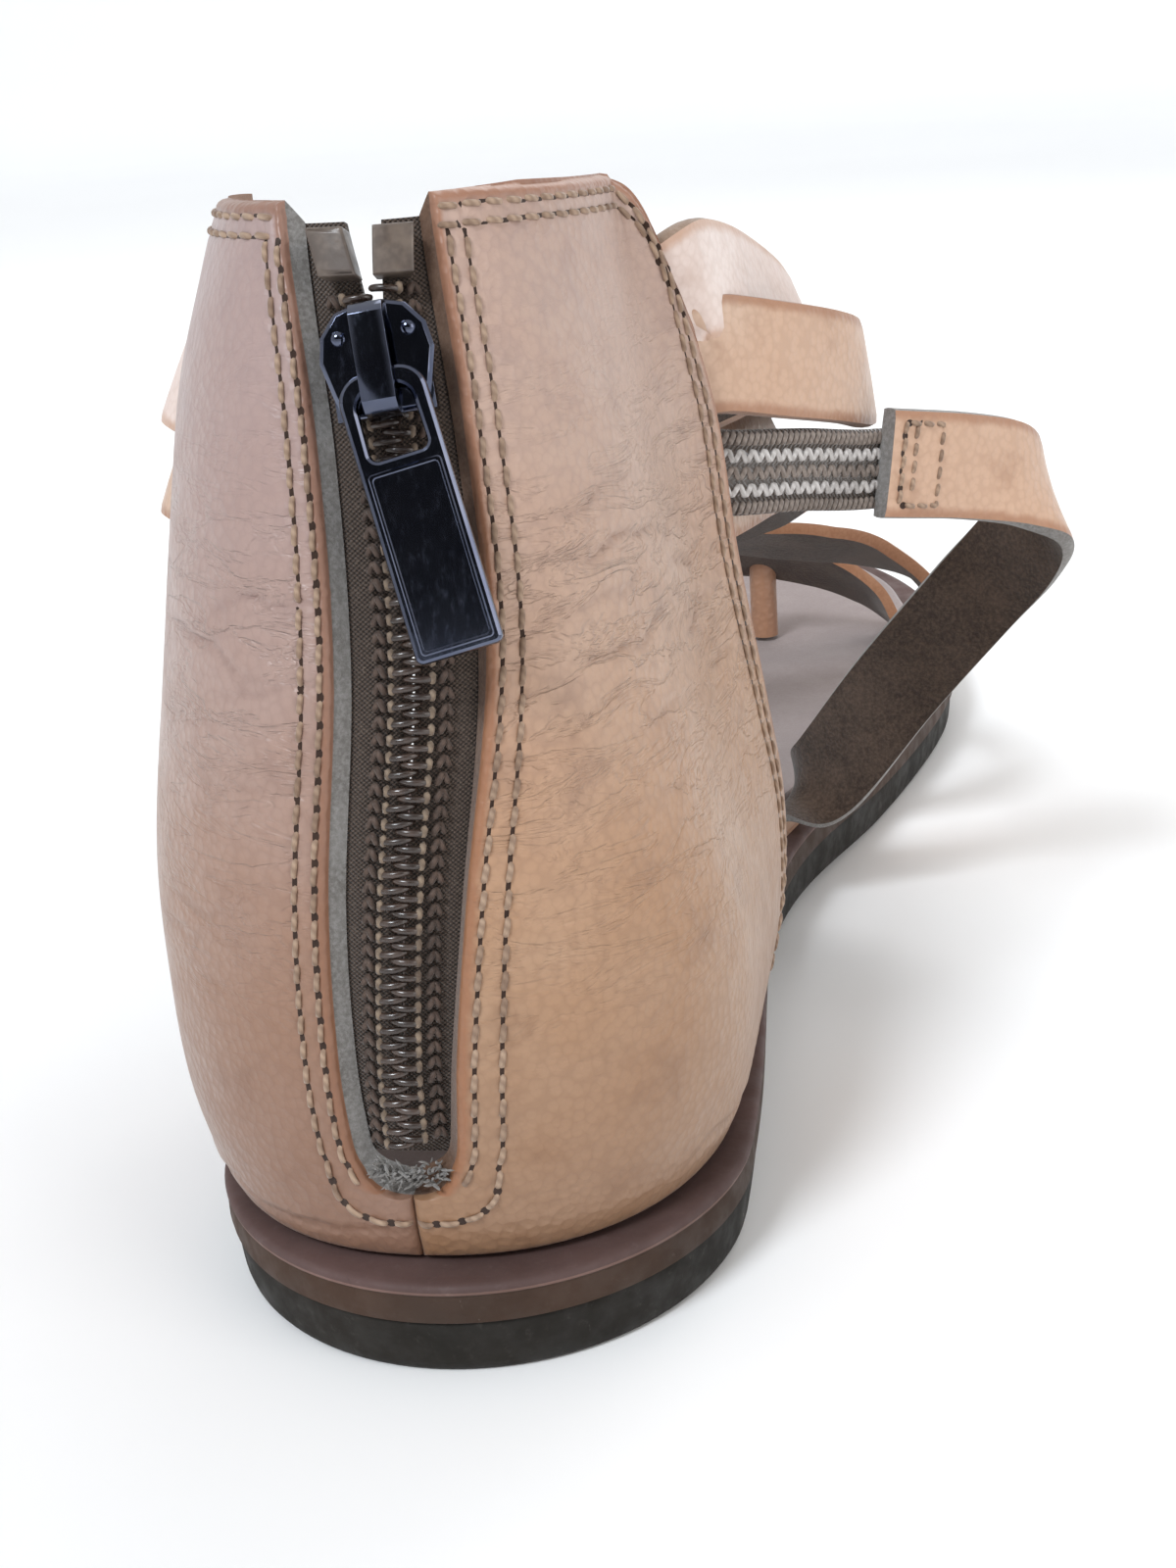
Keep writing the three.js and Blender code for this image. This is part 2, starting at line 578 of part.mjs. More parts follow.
// The arch over the pull's bar, drawn from the side and drawn out across the slider.
function sliderCrown() {
  const top = BAR_OUT + BAR_HALF + 1.3 * GAP;
  const sink = 0.3; // the crown's feet are sunk into the plate
  const shoulder = 0.3;
  const slope = 0.9;
  // Half of an arch between two ends, from its foot to its top: inset from the end, height.
  const arch = (side, foot, wall, height) => {
    const end = side > 0 ? CROWN_UPPER : CROWN_LOWER;
    return [
      [end - side * wall, foot],
      [end - side * (wall + shoulder), height - CROWN_WALL],
      [end - side * (wall + shoulder + slope), height],
    ];
  };
  const loop = (foot, wall, height) => [
    ...arch(1, foot, wall, height),
    ...arch(-1, foot, wall, height).reverse(),
  ];
  const outer = loop(PLATE_FRONT - sink, 0, top + CROWN_WALL);
  const inner = loop(PLATE_FRONT, CROWN_WALL, top);
  const geometry = extruded(outer, [inner], CROWN_WIDTH, 0);
  // Drawn in x = up and y = out: turn it so that its thickness lies across.
  const turn = new THREE.Matrix4().set(0, 0, 1, -CROWN_WIDTH / 2, 1, 0, 0, 0, 0, 1, 0, 0, 0, 0, 0, 1);
  return geometry.applyMatrix4(turn);
}

function zipSlider() {
  const coilHalf = GAP / 2 + COIL_WIDTH;
  const depth = COIL_THICKNESS + GAP;
  const x = coilHalf + GAP + FLANGE_WIDTH / 2;
  const y = -0.24 * SLIDER_HEIGHT;
  const flange = (side) =>
    box(FLANGE_WIDTH, 0.5 * SLIDER_HEIGHT, depth, side * x, y, PLATE_BACK + GAP - depth / 2);
  return solidFrom(sliderPlate()).add(solidFrom(sliderCrown())).add(flange(1)).add(flange(-1));
}

function pullOutline() {
  const half = PULL_WIDTH / 2;
  return roundedRect(-half, BAR_HEIGHT / 2 - PULL_LENGTH, half, BAR_HEIGHT / 2, 1.3);
}

function zipPull() {
  const windowEnd = -BAR_HEIGHT / 2 - WINDOW_LENGTH;
  const window = roundedRect(-WINDOW_HALF, windowEnd, WINDOW_HALF, -BAR_HEIGHT / 2, 0.6);
  return extruded(pullOutline(), [window], PULL_THICKNESS, 0).translate(0, 0, -BAR_HALF);
}

const PULL_FRAME = SLIDER_FRAME.clone()
  .multiply(new THREE.Matrix4().makeTranslation(0, BAR_UP, BAR_OUT))
  .multiply(new THREE.Matrix4().makeRotationZ(THREE.MathUtils.degToRad(PULL_TILT_DEG)));

// Straps

const strapRow = ({ across, along, up, face }) => ({
  point: vec(across * BALL_WIDTH, alongToY(along), upToZ(up)),
  face: vec(...face).normalize(),
});

// Rows of a strap that lies inside the counter's front edge, from its end up to the edge.
function anchorRows(side, up, depth, climb = 0) {
  return [1 - ANCHOR_RUN, 1 - ANCHOR_RUN / 2, 0.99].map((away) => {
    const t = side * away;
    const z = upToZ(up - (climb * (0.99 - away)) / ANCHOR_RUN);
    return { point: wallPoint(t, z, depth), face: normalOf(panelPoint, t, z, 0.004, 0.5) };
  });
}

// Rows of a strap that stands on the midsole's rim, from above down to its cut end.
function footRows(side, along, thickness) {
  const edge = soleEdge(side, along);
  const x = edge - side * (LEDGE + thickness / 2);
  const y = alongToY(along);
  const foot = UPPER_FOOT + soleLift(along);
  const run = 2 / SOLE_LENGTH;
  const slant = (soleEdge(side, along + run) - soleEdge(side, along - run)) / 4;
  const face = vec(side, -side * slant, 0).normalize();
  return [
    { point: vec(x, y, foot + STRAP_THICKNESS), face },
    { point: vec(x, y, foot - 2 * STRAP_THICKNESS), face },
  ];
}

function strapSolid(rows, width, thickness, segments) {
  const path = new THREE.CatmullRomCurve3(rows.map((row) => row.point), false, "catmullrom", 0.5);
  const faces = new THREE.CatmullRomCurve3(rows.map((row) => row.face), false, "catmullrom", 0.5);
  const outer = [];
  const inner = [];
  for (let i = 0; i <= segments; i++) {
    const u = i / segments;
    const point = path.getPoint(u);
    const run = path.getTangent(u);
    const face = faces.getPoint(u);
    face.addScaledVector(run, -face.dot(run)).normalize();
    const rise = face.clone().cross(run).normalize();
    const corner = (out, up) => {
      const outer = point.clone().addScaledVector(face, (out * thickness) / 2);
      return outer.addScaledVector(rise, (up * width) / 2);
    };
    outer.push([corner(1, -1), corner(1, 0), corner(1, 1)]);
    inner.push([corner(-1, -1), corner(-1, 0), corner(-1, 1)]);
  }
  return slab(outer, inner);
}

const strap = (rows, segments) => strapSolid(rows, STRAP_WIDTH, STRAP_THICKNESS, segments);
const INNER_LAYER = WALL + 2 * GAP + STRAP_THICKNESS / 2;

function ankleStraps() {
  const upper = [...anchorRows(1, 0.845, INNER_LAYER, 0.09), ...ANKLE_UPPER.map(strapRow)];
  upper.push(...anchorRows(-1, 0.765, INNER_LAYER, 0.02).reverse());
  const lower = [...anchorRows(1, 0.782, INNER_LAYER), ...ANKLE_LOWER.map(strapRow)];
  lower.push(...anchorRows(-1, 0.655, INNER_LAYER).reverse());
  return strap(upper, 44).add(strap(lower, 48)).subtract(counterRoom());
}

function instepStraps() {
  const deeper = WALL + 2 * GAP + ELASTIC_THICKNESS + STRAP_THICKNESS / 2;
  const fromMedial = [...anchorRows(1, 0.628, deeper), ...INSTEP_FROM_MEDIAL.map(strapRow)];
  fromMedial.push(...footRows(-1, FEET.instepLateral, STRAP_THICKNESS));
  const fromLateral = [...anchorRows(-1, 0.435, INNER_LAYER), ...INSTEP_FROM_LATERAL.map(strapRow)];
  fromLateral.push(...footRows(1, FEET.instepMedial, STRAP_THICKNESS));
  return strap(fromMedial, 44).add(strap(fromLateral, 48)).subtract(seatCut()).subtract(counterRoom());
}

function sideElastic() {
  const depth = WALL + GAP + ELASTIC_THICKNESS / 2;
  const rows = [...anchorRows(1, 0.657, depth), ...SIDE_ELASTIC.map(strapRow)];
  return strapSolid(rows, ELASTIC_WIDTH, ELASTIC_THICKNESS, 20).subtract(counterRoom());
}

function sideStrap() {
  const rows = [...SIDE_STRAP.map(strapRow), ...footRows(1, FEET.sideStrap, STRAP_THICKNESS)];
  return strap(rows, 40).subtract(seatCut());
}

function toeStrap() {
  const rows = [
    ...footRows(1, FEET.toeMedial, STRAP_THICKNESS).reverse(),
    ...TOE_BAND.map(strapRow),
    ...footRows(-1, FEET.toeLateral, STRAP_THICKNESS),
  ];
  const postFoot = SOLE_TOP + 2 * GAP + FOOTBED_THICKNESS + soleLift(TOE_POST.along);
  const postTop = upToZ(0.186);
  const post = new THREE.CylinderGeometry(TOE_POST_RADIUS, TOE_POST_RADIUS, postTop - postFoot, 16)
    .rotateX(Math.PI / 2)
    .translate(TOE_POST.across * BALL_WIDTH, alongToY(TOE_POST.along), (postTop + postFoot) / 2);
  return strap(rows, 40).subtract(seatCut()).add(solidFrom(post));
}

// Model

const FINISH = {
  outsole: { color: "#4f4a42", roughness: 0.85, metalness: 0 },
  midsole: { color: "#7a6158", roughness: 0.7, metalness: 0 },
  footbed: { color: "#8a756c", roughness: 0.75, metalness: 0 },
  leather: { color: "#c89a72", roughness: 0.5, metalness: 0 },
  tape: { color: "#54443a", roughness: 0.9, metalness: 0 },
  coil: { color: "#3b2d25", roughness: 0.45, metalness: 0 },
  stop: { color: "#8d7a6c", roughness: 0.5, metalness: 0 },
  gunmetal: { color: "#1b1e2a", roughness: 0.15, metalness: 1 },
  elastic: { color: "#a79684", roughness: 0.6, metalness: 0 },
};

const sandal = new THREE.Group();
sandal.name = "gladiator_sandal_left";

function addPiece(name, solid, finish, frame = new THREE.Matrix4()) {
  const mesh = new THREE.Mesh(geometryOf(mainBody(solid)), new THREE.MeshStandardMaterial(FINISH[finish]));
  mesh.name = name;
  mesh.applyMatrix4(frame);
  sandal.add(mesh);
}

const midsoleBottom = OUTSOLE_THICKNESS + GAP;
addPiece("outsole", soleLayer(0, OUTSOLE_THICKNESS, OUTSOLE_INSET, 1.2, 0), "outsole");
addPiece("midsole", soleLayer(midsoleBottom, SOLE_TOP, 0, 0, 0.4), "midsole");
addPiece("footbed", soleLayer(UPPER_FOOT, UPPER_FOOT + FOOTBED_THICKNESS, FOOTBED_INSET, 0, 0.5), "footbed");
addPiece("heel_counter", heelCounter(), "leather");
addPiece("zip_tape_lateral", zipTape(-1), "tape");
addPiece("zip_tape_medial", zipTape(1), "tape");
addPiece("zip_coil_lateral", zipCoil(-1), "coil");
addPiece("zip_coil_medial", zipCoil(1), "coil");
addPiece("zip_stop_lateral", zipStop(-1), "stop");
addPiece("zip_stop_medial", zipStop(1), "stop");
addPiece("zip_slider", zipSlider(), "gunmetal", SLIDER_FRAME);
addPiece("zip_pull", solidFrom(zipPull()), "gunmetal", PULL_FRAME);
addPiece("ankle_straps", ankleStraps(), "leather");
addPiece("side_elastic", sideElastic(), "elastic");
addPiece("side_strap", sideStrap(), "leather");
addPiece("instep_straps", instepStraps(), "leather");
addPiece("toe_strap", toeStrap(), "leather");

export default sandal;
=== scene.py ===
import math
import random

import bpy
import numpy as np
from mathutils import Matrix, Vector


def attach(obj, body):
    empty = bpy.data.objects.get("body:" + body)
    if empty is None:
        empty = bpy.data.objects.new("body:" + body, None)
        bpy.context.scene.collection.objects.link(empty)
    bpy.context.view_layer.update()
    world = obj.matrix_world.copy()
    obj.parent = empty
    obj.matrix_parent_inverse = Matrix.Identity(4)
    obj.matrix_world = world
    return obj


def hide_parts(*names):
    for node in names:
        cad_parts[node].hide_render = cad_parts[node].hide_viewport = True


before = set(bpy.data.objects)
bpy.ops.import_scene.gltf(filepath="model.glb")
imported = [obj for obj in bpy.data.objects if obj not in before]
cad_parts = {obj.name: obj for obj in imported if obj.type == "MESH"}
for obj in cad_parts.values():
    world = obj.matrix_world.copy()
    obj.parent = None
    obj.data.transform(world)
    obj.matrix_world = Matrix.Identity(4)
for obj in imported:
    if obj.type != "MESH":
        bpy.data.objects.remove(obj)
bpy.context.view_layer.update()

# Main sizes
SOLE_LENGTH = 252
BALL_WIDTH = 88
UPPER_RISE = 93
OUTSOLE_THICKNESS = 5.6
MIDSOLE_THICKNESS = 3.9
FOOTBED_THICKNESS = 2.2
TOE_SPRING = 6
ARCH_RISE = 1.2
LEDGE = 2.2
WALL = 2
STRAP_WIDTH = 12
STRAP_THICKNESS = 2
ELASTIC_WIDTH = 8.8
ELASTIC_THICKNESS = 1.4
TOE_POST_RADIUS = 2.3
GAP = 0.3
SLOT_WIDTH = 11.6
COIL_THICKNESS = 1.8
TAPE_THICKNESS = 0.8
TAPE_SEAM = 4
COIL_PARTING = 1.9
SLIDER_HEIGHT = 9.4
PLATE_THICKNESS = 1.3
PULL_WIDTH = 7.5
PULL_LENGTH = 24
PULL_THICKNESS = 1.4
PULL_TILT_DEG = 7.6

SOLE_TOP = OUTSOLE_THICKNESS + GAP + MIDSOLE_THICKNESS
UPPER_FOOT = SOLE_TOP + GAP
FOOTBED_INSET = LEDGE + WALL + 5 * GAP
TAPE_DEPTH = WALL + GAP
COIL_DEPTH = TAPE_DEPTH - GAP - COIL_THICKNESS
INNER_LAYER = WALL + 2 * GAP + STRAP_THICKNESS / 2
COUNTER_EXPONENT = 2.2
ARC_SHARE = 0.6
FLARE_START = 0.3
FLARE_LATE = 0.72
LATE_SHARE = 0.6
# Fall of the collar towards its front corners: start, gentle share of the fall, power.
CORNER = {"medial": (0.22, 0.18, 14), "lateral": (0.06, 0.05, 5)}
CORNER_DROP = 0.19
HEEL_DEPTH = 0.119
SPRING_START = 0.74
ARCH_START = 0.27
ARCH_END = 0.6
ORIGIN_ALONG = 0.14
HEEL_ROUND = 0.115
TOE_ROUND = 0.125
ANCHOR_RUN = 0.16
ZIP_BOTTOM = 0.15
COIL_TOP = 0.93
TAPE_TOP = 0.985
SLIDER_AT = 0.862
PANEL_SPREAD = 78  # length of a panel's surface for one step of its run


def table(names, *rows):
    """Columns of a small table by name."""
    return {name: np.array([row[k] for row in rows], float) for k, name in enumerate(names.split())}


OUTLINE = table(
    "along medial lateral",
    (0.0, 0.322, 0.288),
    (0.15, 0.322, 0.29),
    (0.34, 0.292, 0.302),
    (0.42, 0.318, 0.325),
    (0.55, 0.43, 0.388),
    (0.71, 0.532, 0.458),
    (0.8, 0.525, 0.452),
    (0.9, 0.462, 0.37),
    (1.0, 0.385, 0.25),
)
COUNTER = table(
    "up back lateral medial front flare",
    (0.0, 0.0135, 0.288, 0.305, 0.25, 0.0),
    (0.12, 0.0095, 0.323, 0.331, 0.257, 0.01),
    (0.25, 0.0095, 0.339, 0.337, 0.254, 0.04),
    (0.38, 0.0135, 0.356, 0.325, 0.242, 0.1),
    (0.57, 0.0255, 0.355, 0.303, 0.224, 0.17),
    (0.72, 0.0395, 0.344, 0.29, 0.214, 0.2),
    (0.83, 0.0515, 0.329, 0.268, 0.206, 0.21),
    (0.93, 0.063, 0.297, 0.25, 0.197, 0.22),
    (1.0, 0.0715, 0.268, 0.235, 0.19, 0.22),
)
SLOT = table(
    "up centre width",
    (0.108, 0.006, 0.54),
    (0.13, 0.006, 0.65),
    (0.22, 0.008, 0.78),
    (0.38, 0.022, 0.93),
    (0.6, 0.047, 1.0),
    (0.8, 0.034, 0.957),
    (1.0, 0.003, 0.965),
    (1.06, 0.003, 0.965),
)


def look_up(columns, by, name, at):
    """A smooth value of one column of a table, looked up by another column."""
    xs, ys = columns[by], columns[name]
    at = np.clip(np.asarray(at, float), xs[0], xs[-1])
    i = np.clip(np.searchsorted(xs, at, side="right") - 1, 0, len(xs) - 2)
    lower = np.maximum(np.arange(len(xs)) - 1, 0)
    upper = np.minimum(np.arange(len(xs)) + 1, len(xs) - 1)
    slope = (ys[upper] - ys[lower]) / (xs[upper] - xs[lower])
    span = xs[i + 1] - xs[i]
    t = (at - xs[i]) / span
    rise = t * t * (3 - 2 * t)
    bend = span * t * (1 - t) * ((1 - t) * slope[i] - t * slope[i + 1])
    return ys[i] * (1 - rise) + ys[i + 1] * rise + bend


def along_to_y(along):
    return (along - ORIGIN_ALONG) * SOLE_LENGTH


def up_to_z(up):
    return SOLE_TOP + up * UPPER_RISE


def z_to_up(z):
    return (z - SOLE_TOP) / UPPER_RISE


def unit(vectors):
    return vectors / np.maximum(np.linalg.norm(vectors, axis=-1, keepdims=True), 1e-9)


def points(x, y, z):
    return np.stack(np.broadcast_arrays(x, y, z), axis=-1).astype(float)


def bell(distance, width):
    return np.exp(-((distance / width) ** 2))


def sample(rows, at, spots):
    """Rows of values found at spots along a line, from the values at its known places."""
    return np.stack([np.interp(spots, at, rows[:, k]) for k in range(rows.shape[1])], -1)


# Meshes


def make_mesh(name, vertices, faces, looks, slots=None, attributes=None, sharp_deg=45):
    """A mesh object from millimetre vertices, quad or triangle faces, and values at its points."""
    mesh = bpy.data.meshes.new(name)
    mesh.from_pydata((np.asarray(vertices) / 1000).tolist(), [], [tuple(f) for f in faces])
    for look in looks:
        mesh.materials.append(look)
    if slots is not None:
        mesh.polygons.foreach_set("material_index", np.asarray(slots, np.int32))
    for key, values in (attributes or {}).items():
        layer = mesh.attributes.new(key, "FLOAT", "POINT")
        layer.data.foreach_set("value", np.asarray(values, np.float32))
    mesh.validate()
    mesh.shade_smooth()
    mesh.set_sharp_from_angle(angle=math.radians(sharp_deg))
    item = bpy.data.objects.new(name, mesh)
    bpy.context.scene.collection.objects.link(item)
    return item


def grid_faces(rows, columns, start=0, wrap=False, flip=False):
    """Quads of a grid of points, closed across its columns if wrap is set."""
    across = columns if wrap else columns - 1
    i, j = np.meshgrid(np.arange(rows - 1), np.arange(across), indexing="ij")
    k = (j + 1) % columns
    quads = np.stack([i * columns + j, i * columns + k, (i + 1) * columns + k, (i + 1) * columns + j], -1)
    quads = quads.reshape(-1, 4) + start
    return quads[:, ::-1] if flip else quads


def walled(front, back, flip, kinds=(0,) * 6, steps=2, jitter=0.0):
    """Points, faces and kinds of face of a wall between two grids: front, back, then its four edges."""
    rows, columns = front.shape[:2]
    count = rows * columns
    vertices = [front.reshape(-1, 3), back.reshape(-1, 3)]
    faces = [grid_faces(rows, columns, flip=flip), grid_faces(rows, columns, count, flip=not flip)]
    index = np.arange(count).reshape(rows, columns)
    start = 2 * count
    slots = [kinds[0]] * len(faces[0]) + [kinds[1]] * len(faces[1])
    share = np.linspace(0, 1, steps)[1:-1, None, None]
    edges = (index[:, 0], index[::-1, -1], index[-1, :], index[0, ::-1])
    for edge, kind in zip(edges, kinds[2:]):
        near, far = vertices[0][edge], vertices[1][edge]
        between = near + (far - near) * share
        if jitter and edge is edges[0]:
            ragged = np.sin(np.arange(len(edge)) * 1.7)[None, :, None] * jitter
            between = between + ragged * unit(near - np.roll(near, 1, axis=0))
        vertices.append(between.reshape(-1, 3))
        inner = [start + k * len(edge) + np.arange(len(edge)) for k in range(steps - 2)]
        strips = [edge, *inner, edge + count]
        for a, b in zip(strips[:-1], strips[1:]):
            quads = np.stack([a[:-1], a[1:], b[1:], b[:-1]], -1)
            faces.append(quads[:, ::-1] if flip else quads)
            slots += [kind] * len(quads)
        start += (steps - 2) * len(edge)
    return np.concatenate(vertices), np.concatenate(faces), slots


class Gathered:
    """Many small pieces of one mesh."""

    def __init__(self):
        self.vertices, self.faces, self.count = [], [], 0

    def add(self, vertices, faces):
        vertices = np.asarray(vertices, float).reshape(-1, 3)
        self.vertices.append(vertices)
        self.faces.extend((np.asarray(faces) + self.count).tolist())
        self.count += len(vertices)

    def tube(self, path, radius, normal, sides=8, flat=1.0, taper=True):
        """A capped tube along a path. Flat squeezes it along the normals."""
        path = np.asarray(path, float)
        run = unit(np.gradient(path, axis=0))
        side = unit(np.cross(run, normal))
        up = np.cross(side, run)
        rings = len(path)
        share = np.linspace(-1, 1, rings)
        size = radius * (np.sqrt(np.maximum(1 - share**6, 0.02)) if taper else np.ones(rings))
        angle = np.linspace(0, 2 * np.pi, sides, endpoint=False)[:, None]
        ring = side[:, None] * np.cos(angle) + up[:, None] * (flat * np.sin(angle))
        self.add(path[:, None] + ring * size[:, None, None], grid_faces(rings, sides, wrap=True))
        first = self.count - rings * sides
        self.faces.append(list(range(first, first + sides))[::-1])
        self.faces.append(list(range(self.count - sides, self.count)))

    def make(self, name, look, sharp_deg=60):
        return make_mesh(name, np.concatenate(self.vertices), self.faces, [look], sharp_deg=sharp_deg)


# Node materials


def rgb(red, green, blue):
    """A colour seen on a screen, as the shader's linear values."""
    shares = (red / 255, green / 255, blue / 255)
    return (*[share / 12.92 if share < 0.04 else ((share + 0.055) / 1.055) ** 2.4 for share in shares], 1)


class Look:
    """A procedural material on the principled shader."""

    def __init__(self, name, **constants):
        self.material = bpy.data.materials.new(name)
        self.material.use_nodes = True
        self.tree = self.material.node_tree
        self.shader = self.tree.nodes["Principled BSDF"]
        self.place = self.tree.nodes.new("ShaderNodeTexCoord").outputs["Object"]
        for key, value in constants.items():
            self.shader.inputs[key.replace("_", " ")].default_value = value

    def node(self, kind, inputs=None, output=0, **settings):
        made = self.tree.nodes.new(kind)
        for key, value in settings.items():
            setattr(made, key, value)
        for key, value in (inputs or {}).items():
            if isinstance(value, bpy.types.NodeSocket):
                self.tree.links.new(value, made.inputs[key])
            else:
                made.inputs[key].default_value = value
        return made.outputs[output]

    def value(self, name):
        """A value that make_mesh laid on the points."""
        return self.node("ShaderNodeAttribute", output="Fac", attribute_name=name)

    def math(self, kind, a, b=0.0):
        return self.node("ShaderNodeMath", {0: a, 1: b}, operation=kind)

    def times(self, a, b):
        return self.node("ShaderNodeMath", {0: a, 1: b}, operation="MULTIPLY")

    def wave(self, value, pitch):
        """A sine along a value."""
        return self.math("SINE", self.times(value, 2 * math.pi / pitch))

    def stretched(self, x, y, z):
        return self.node("ShaderNodeVectorMath", {0: self.place, 1: (x, y, z)}, operation="MULTIPLY")

    def noise(self, per_metre, detail=2.0, roughness=0.5, place=None, distortion=0.0):
        inputs = {
            "Vector": place or self.place,
            "Scale": per_metre,
            "Detail": detail,
            "Roughness": roughness,
            "Distortion": distortion,
        }
        return self.node("ShaderNodeTexNoise", inputs)

    def cells(self, per_metre):
        inputs = {"Vector": self.place, "Scale": per_metre}
        return self.node("ShaderNodeTexVoronoi", inputs, output="Distance")

    def patches(self, per_metre, detail, roughness, low, high, to_low=0.0, to_high=1.0):
        """Noise eased to soft-edged patches."""
        return self.span(self.noise(per_metre, detail, roughness), low, high, to_low, to_high)

    def span(self, value, low, high, to_low=0.0, to_high=1.0):
        """A value eased from one range to another."""
        inputs = {"Value": value, 1: low, 2: high, 3: to_low, 4: to_high}
        return self.node("ShaderNodeMapRange", inputs, clamp=True, interpolation_type="SMOOTHSTEP")

    def mix(self, share, a, b):
        return self.node("ShaderNodeMix", {0: share, 6: a, 7: b}, output=2, data_type="RGBA")

    def bump(self, height, millimetres, strength=1.0, normal=None):
        inputs = {"Height": height, "Distance": millimetres / 1000, "Strength": strength}
        if normal is not None:
            inputs["Normal"] = normal
        return self.node("ShaderNodeBump", inputs)

    def finish(self, color=None, roughness=None, normal=None):
        for key, value in (("Base Color", color), ("Roughness", roughness), ("Normal", normal)):
            if isinstance(value, bpy.types.NodeSocket):
                self.tree.links.new(value, self.shader.inputs[key])
            elif value is not None:
                self.shader.inputs[key].default_value = value
        return self.material


# Painted cool light: the tint of the higher leather where cool light falls from above.
COOL_LIT_LEATHER = rgb(182, 170, 178)


def leather(name, base, pale, deep, burnish, wrinkled=0.0, cool_light=0.0):
    """Grained leather, darker in its pores, with painted shade in its folds, burnished near its rim, and if
    asked with painted cool light higher up and painted shade low down.
    """
    coat = {"Coat_Weight": 0.12, "Coat_Roughness": 0.35}
    look = Look(name, Specular_IOR_Level=0.5, Sheen_Weight=0.12, Sheen_Roughness=0.4, **coat)
    clouds = look.patches(32, 3, 0.55, 0.34, 0.68)
    spots = look.patches(160, 4, 0.6, 0.52, 0.75)
    color = look.mix(look.times(clouds, 0.75), base, pale)
    color = look.mix(look.times(spots, 0.3), color, deep)
    pebbles = look.cells(1050)
    valleys = look.span(pebbles, 0.35, 0.75)
    color = look.mix(look.times(valleys, 0.16), color, deep)
    # Painted shade in the creases and where the straps bend.
    color = look.mix(look.times(look.value("fold_shade"), 0.3), color, deep)
    # Painted light: a cool tint from above on the higher leather, and painted shade darkening it towards the
    # foot.
    if cool_light:
        height = look.node("ShaderNodeSeparateXYZ", {0: look.place}, output=2)
        color = look.mix(look.span(height, 0.03, 0.1, 0.0, cool_light), color, COOL_LIT_LEATHER)
        color = look.mix(look.span(height, 0.008, 0.06, 0.55, 0.0), color, deep)
    ragged = look.math("ADD", look.value("rim"), look.times(look.noise(420, 3, 0.6), 0.9))
    edge = look.span(ragged, 1.0, 2.1, 1.0, 0.0)
    color = look.mix(look.times(edge, 0.75), color, burnish)
    normal = look.bump(look.noise(300, 3, 0.55), 0.16, 0.5)
    if wrinkled:
        lines = look.noise(95, 4, 0.62, look.stretched(1, 1, 3.4), 0.6)
        ridged = look.math("ABSOLUTE", look.math("SUBTRACT", lines, 0.5))
        line = look.span(ridged, 0.0, 0.06)
        masked = look.times(look.math("SUBTRACT", line, 1.0), look.value("wrinkle"))
        normal = look.bump(masked, 0.15 * wrinkled, 0.9, normal)
    normal = look.bump(pebbles, 0.13, 0.85, normal)
    normal = look.bump(look.noise(2600, 3, 0.65), 0.035, 0.7, normal)
    rough = look.patches(240, 3, 0.6, 0.3, 0.75, 0.34, 0.5)
    return look.finish(color, rough, normal)


def suede(name, base, light, speckle=0.5, depth=0.14):
    """Matte fibres: bare suede, a lining or a cut edge, by how speckled and how deep they are."""
    look = Look(name, Sheen_Weight=0.35, Sheen_Roughness=0.5, Specular_IOR_Level=0.25)
    fibres = look.noise(2200, 5, 0.75)
    color = look.mix(look.span(fibres, 0.36, 0.68, 0, speckle), base, light)
    color = look.mix(look.patches(190, 3, 0.6, 0.4, 0.75, 0, 0.3), color, light)
    return look.finish(color, 0.93, look.bump(fibres, depth, 0.9))


def rubber(name, base, dark, scuff, amount, chalk):
    """Matte rubber with stretched scuffs in places and chalky dust."""
    look = Look(name, Specular_IOR_Level=0.35)
    clouds = look.patches(45, 4, 0.6, 0.35, 0.7)
    color = look.mix(clouds, base, dark)
    marks = look.span(look.noise(430, 6, 0.72, look.stretched(1, 1, 0.55), 0.8), 0.64, 0.74)
    where = look.patches(38, 2, 0.5, 0.52, 0.62)
    color = look.mix(look.times(marks, look.times(where, amount)), color, scuff)
    dust = look.patches(900, 5, 0.7, 0.55, 0.8)
    color = look.mix(look.times(dust, chalk), color, scuff)
    normal = look.bump(look.noise(1400, 4, 0.6), 0.06, 0.6)
    normal = look.bump(marks, -0.12, 0.5, normal)
    rough = look.patches(300, 3, 0.6, 0.3, 0.7, 0.55, 0.82)
    return look.finish(color, rough, normal)


def thread(name, base, shade):
    """A twisted yarn, dirtier in patches."""
    look = Look(name, Sheen_Weight=0.2, Specular_IOR_Level=0.4)
    inputs = {"Vector": look.place, "Scale": 520.0, "Distortion": 1.5, "Detail": 2.0}
    twist = look.node("ShaderNodeTexWave", inputs, output="Fac", bands_direction="DIAGONAL")
    dirt = look.patches(150, 3, 0.6, 0.42, 0.7, 0, 0.6)
    color = look.mix(look.times(twist, 0.45), base, shade)
    color = look.mix(dirt, color, shade)
    return look.finish(color, 0.6, look.bump(twist, 0.06, 0.8))
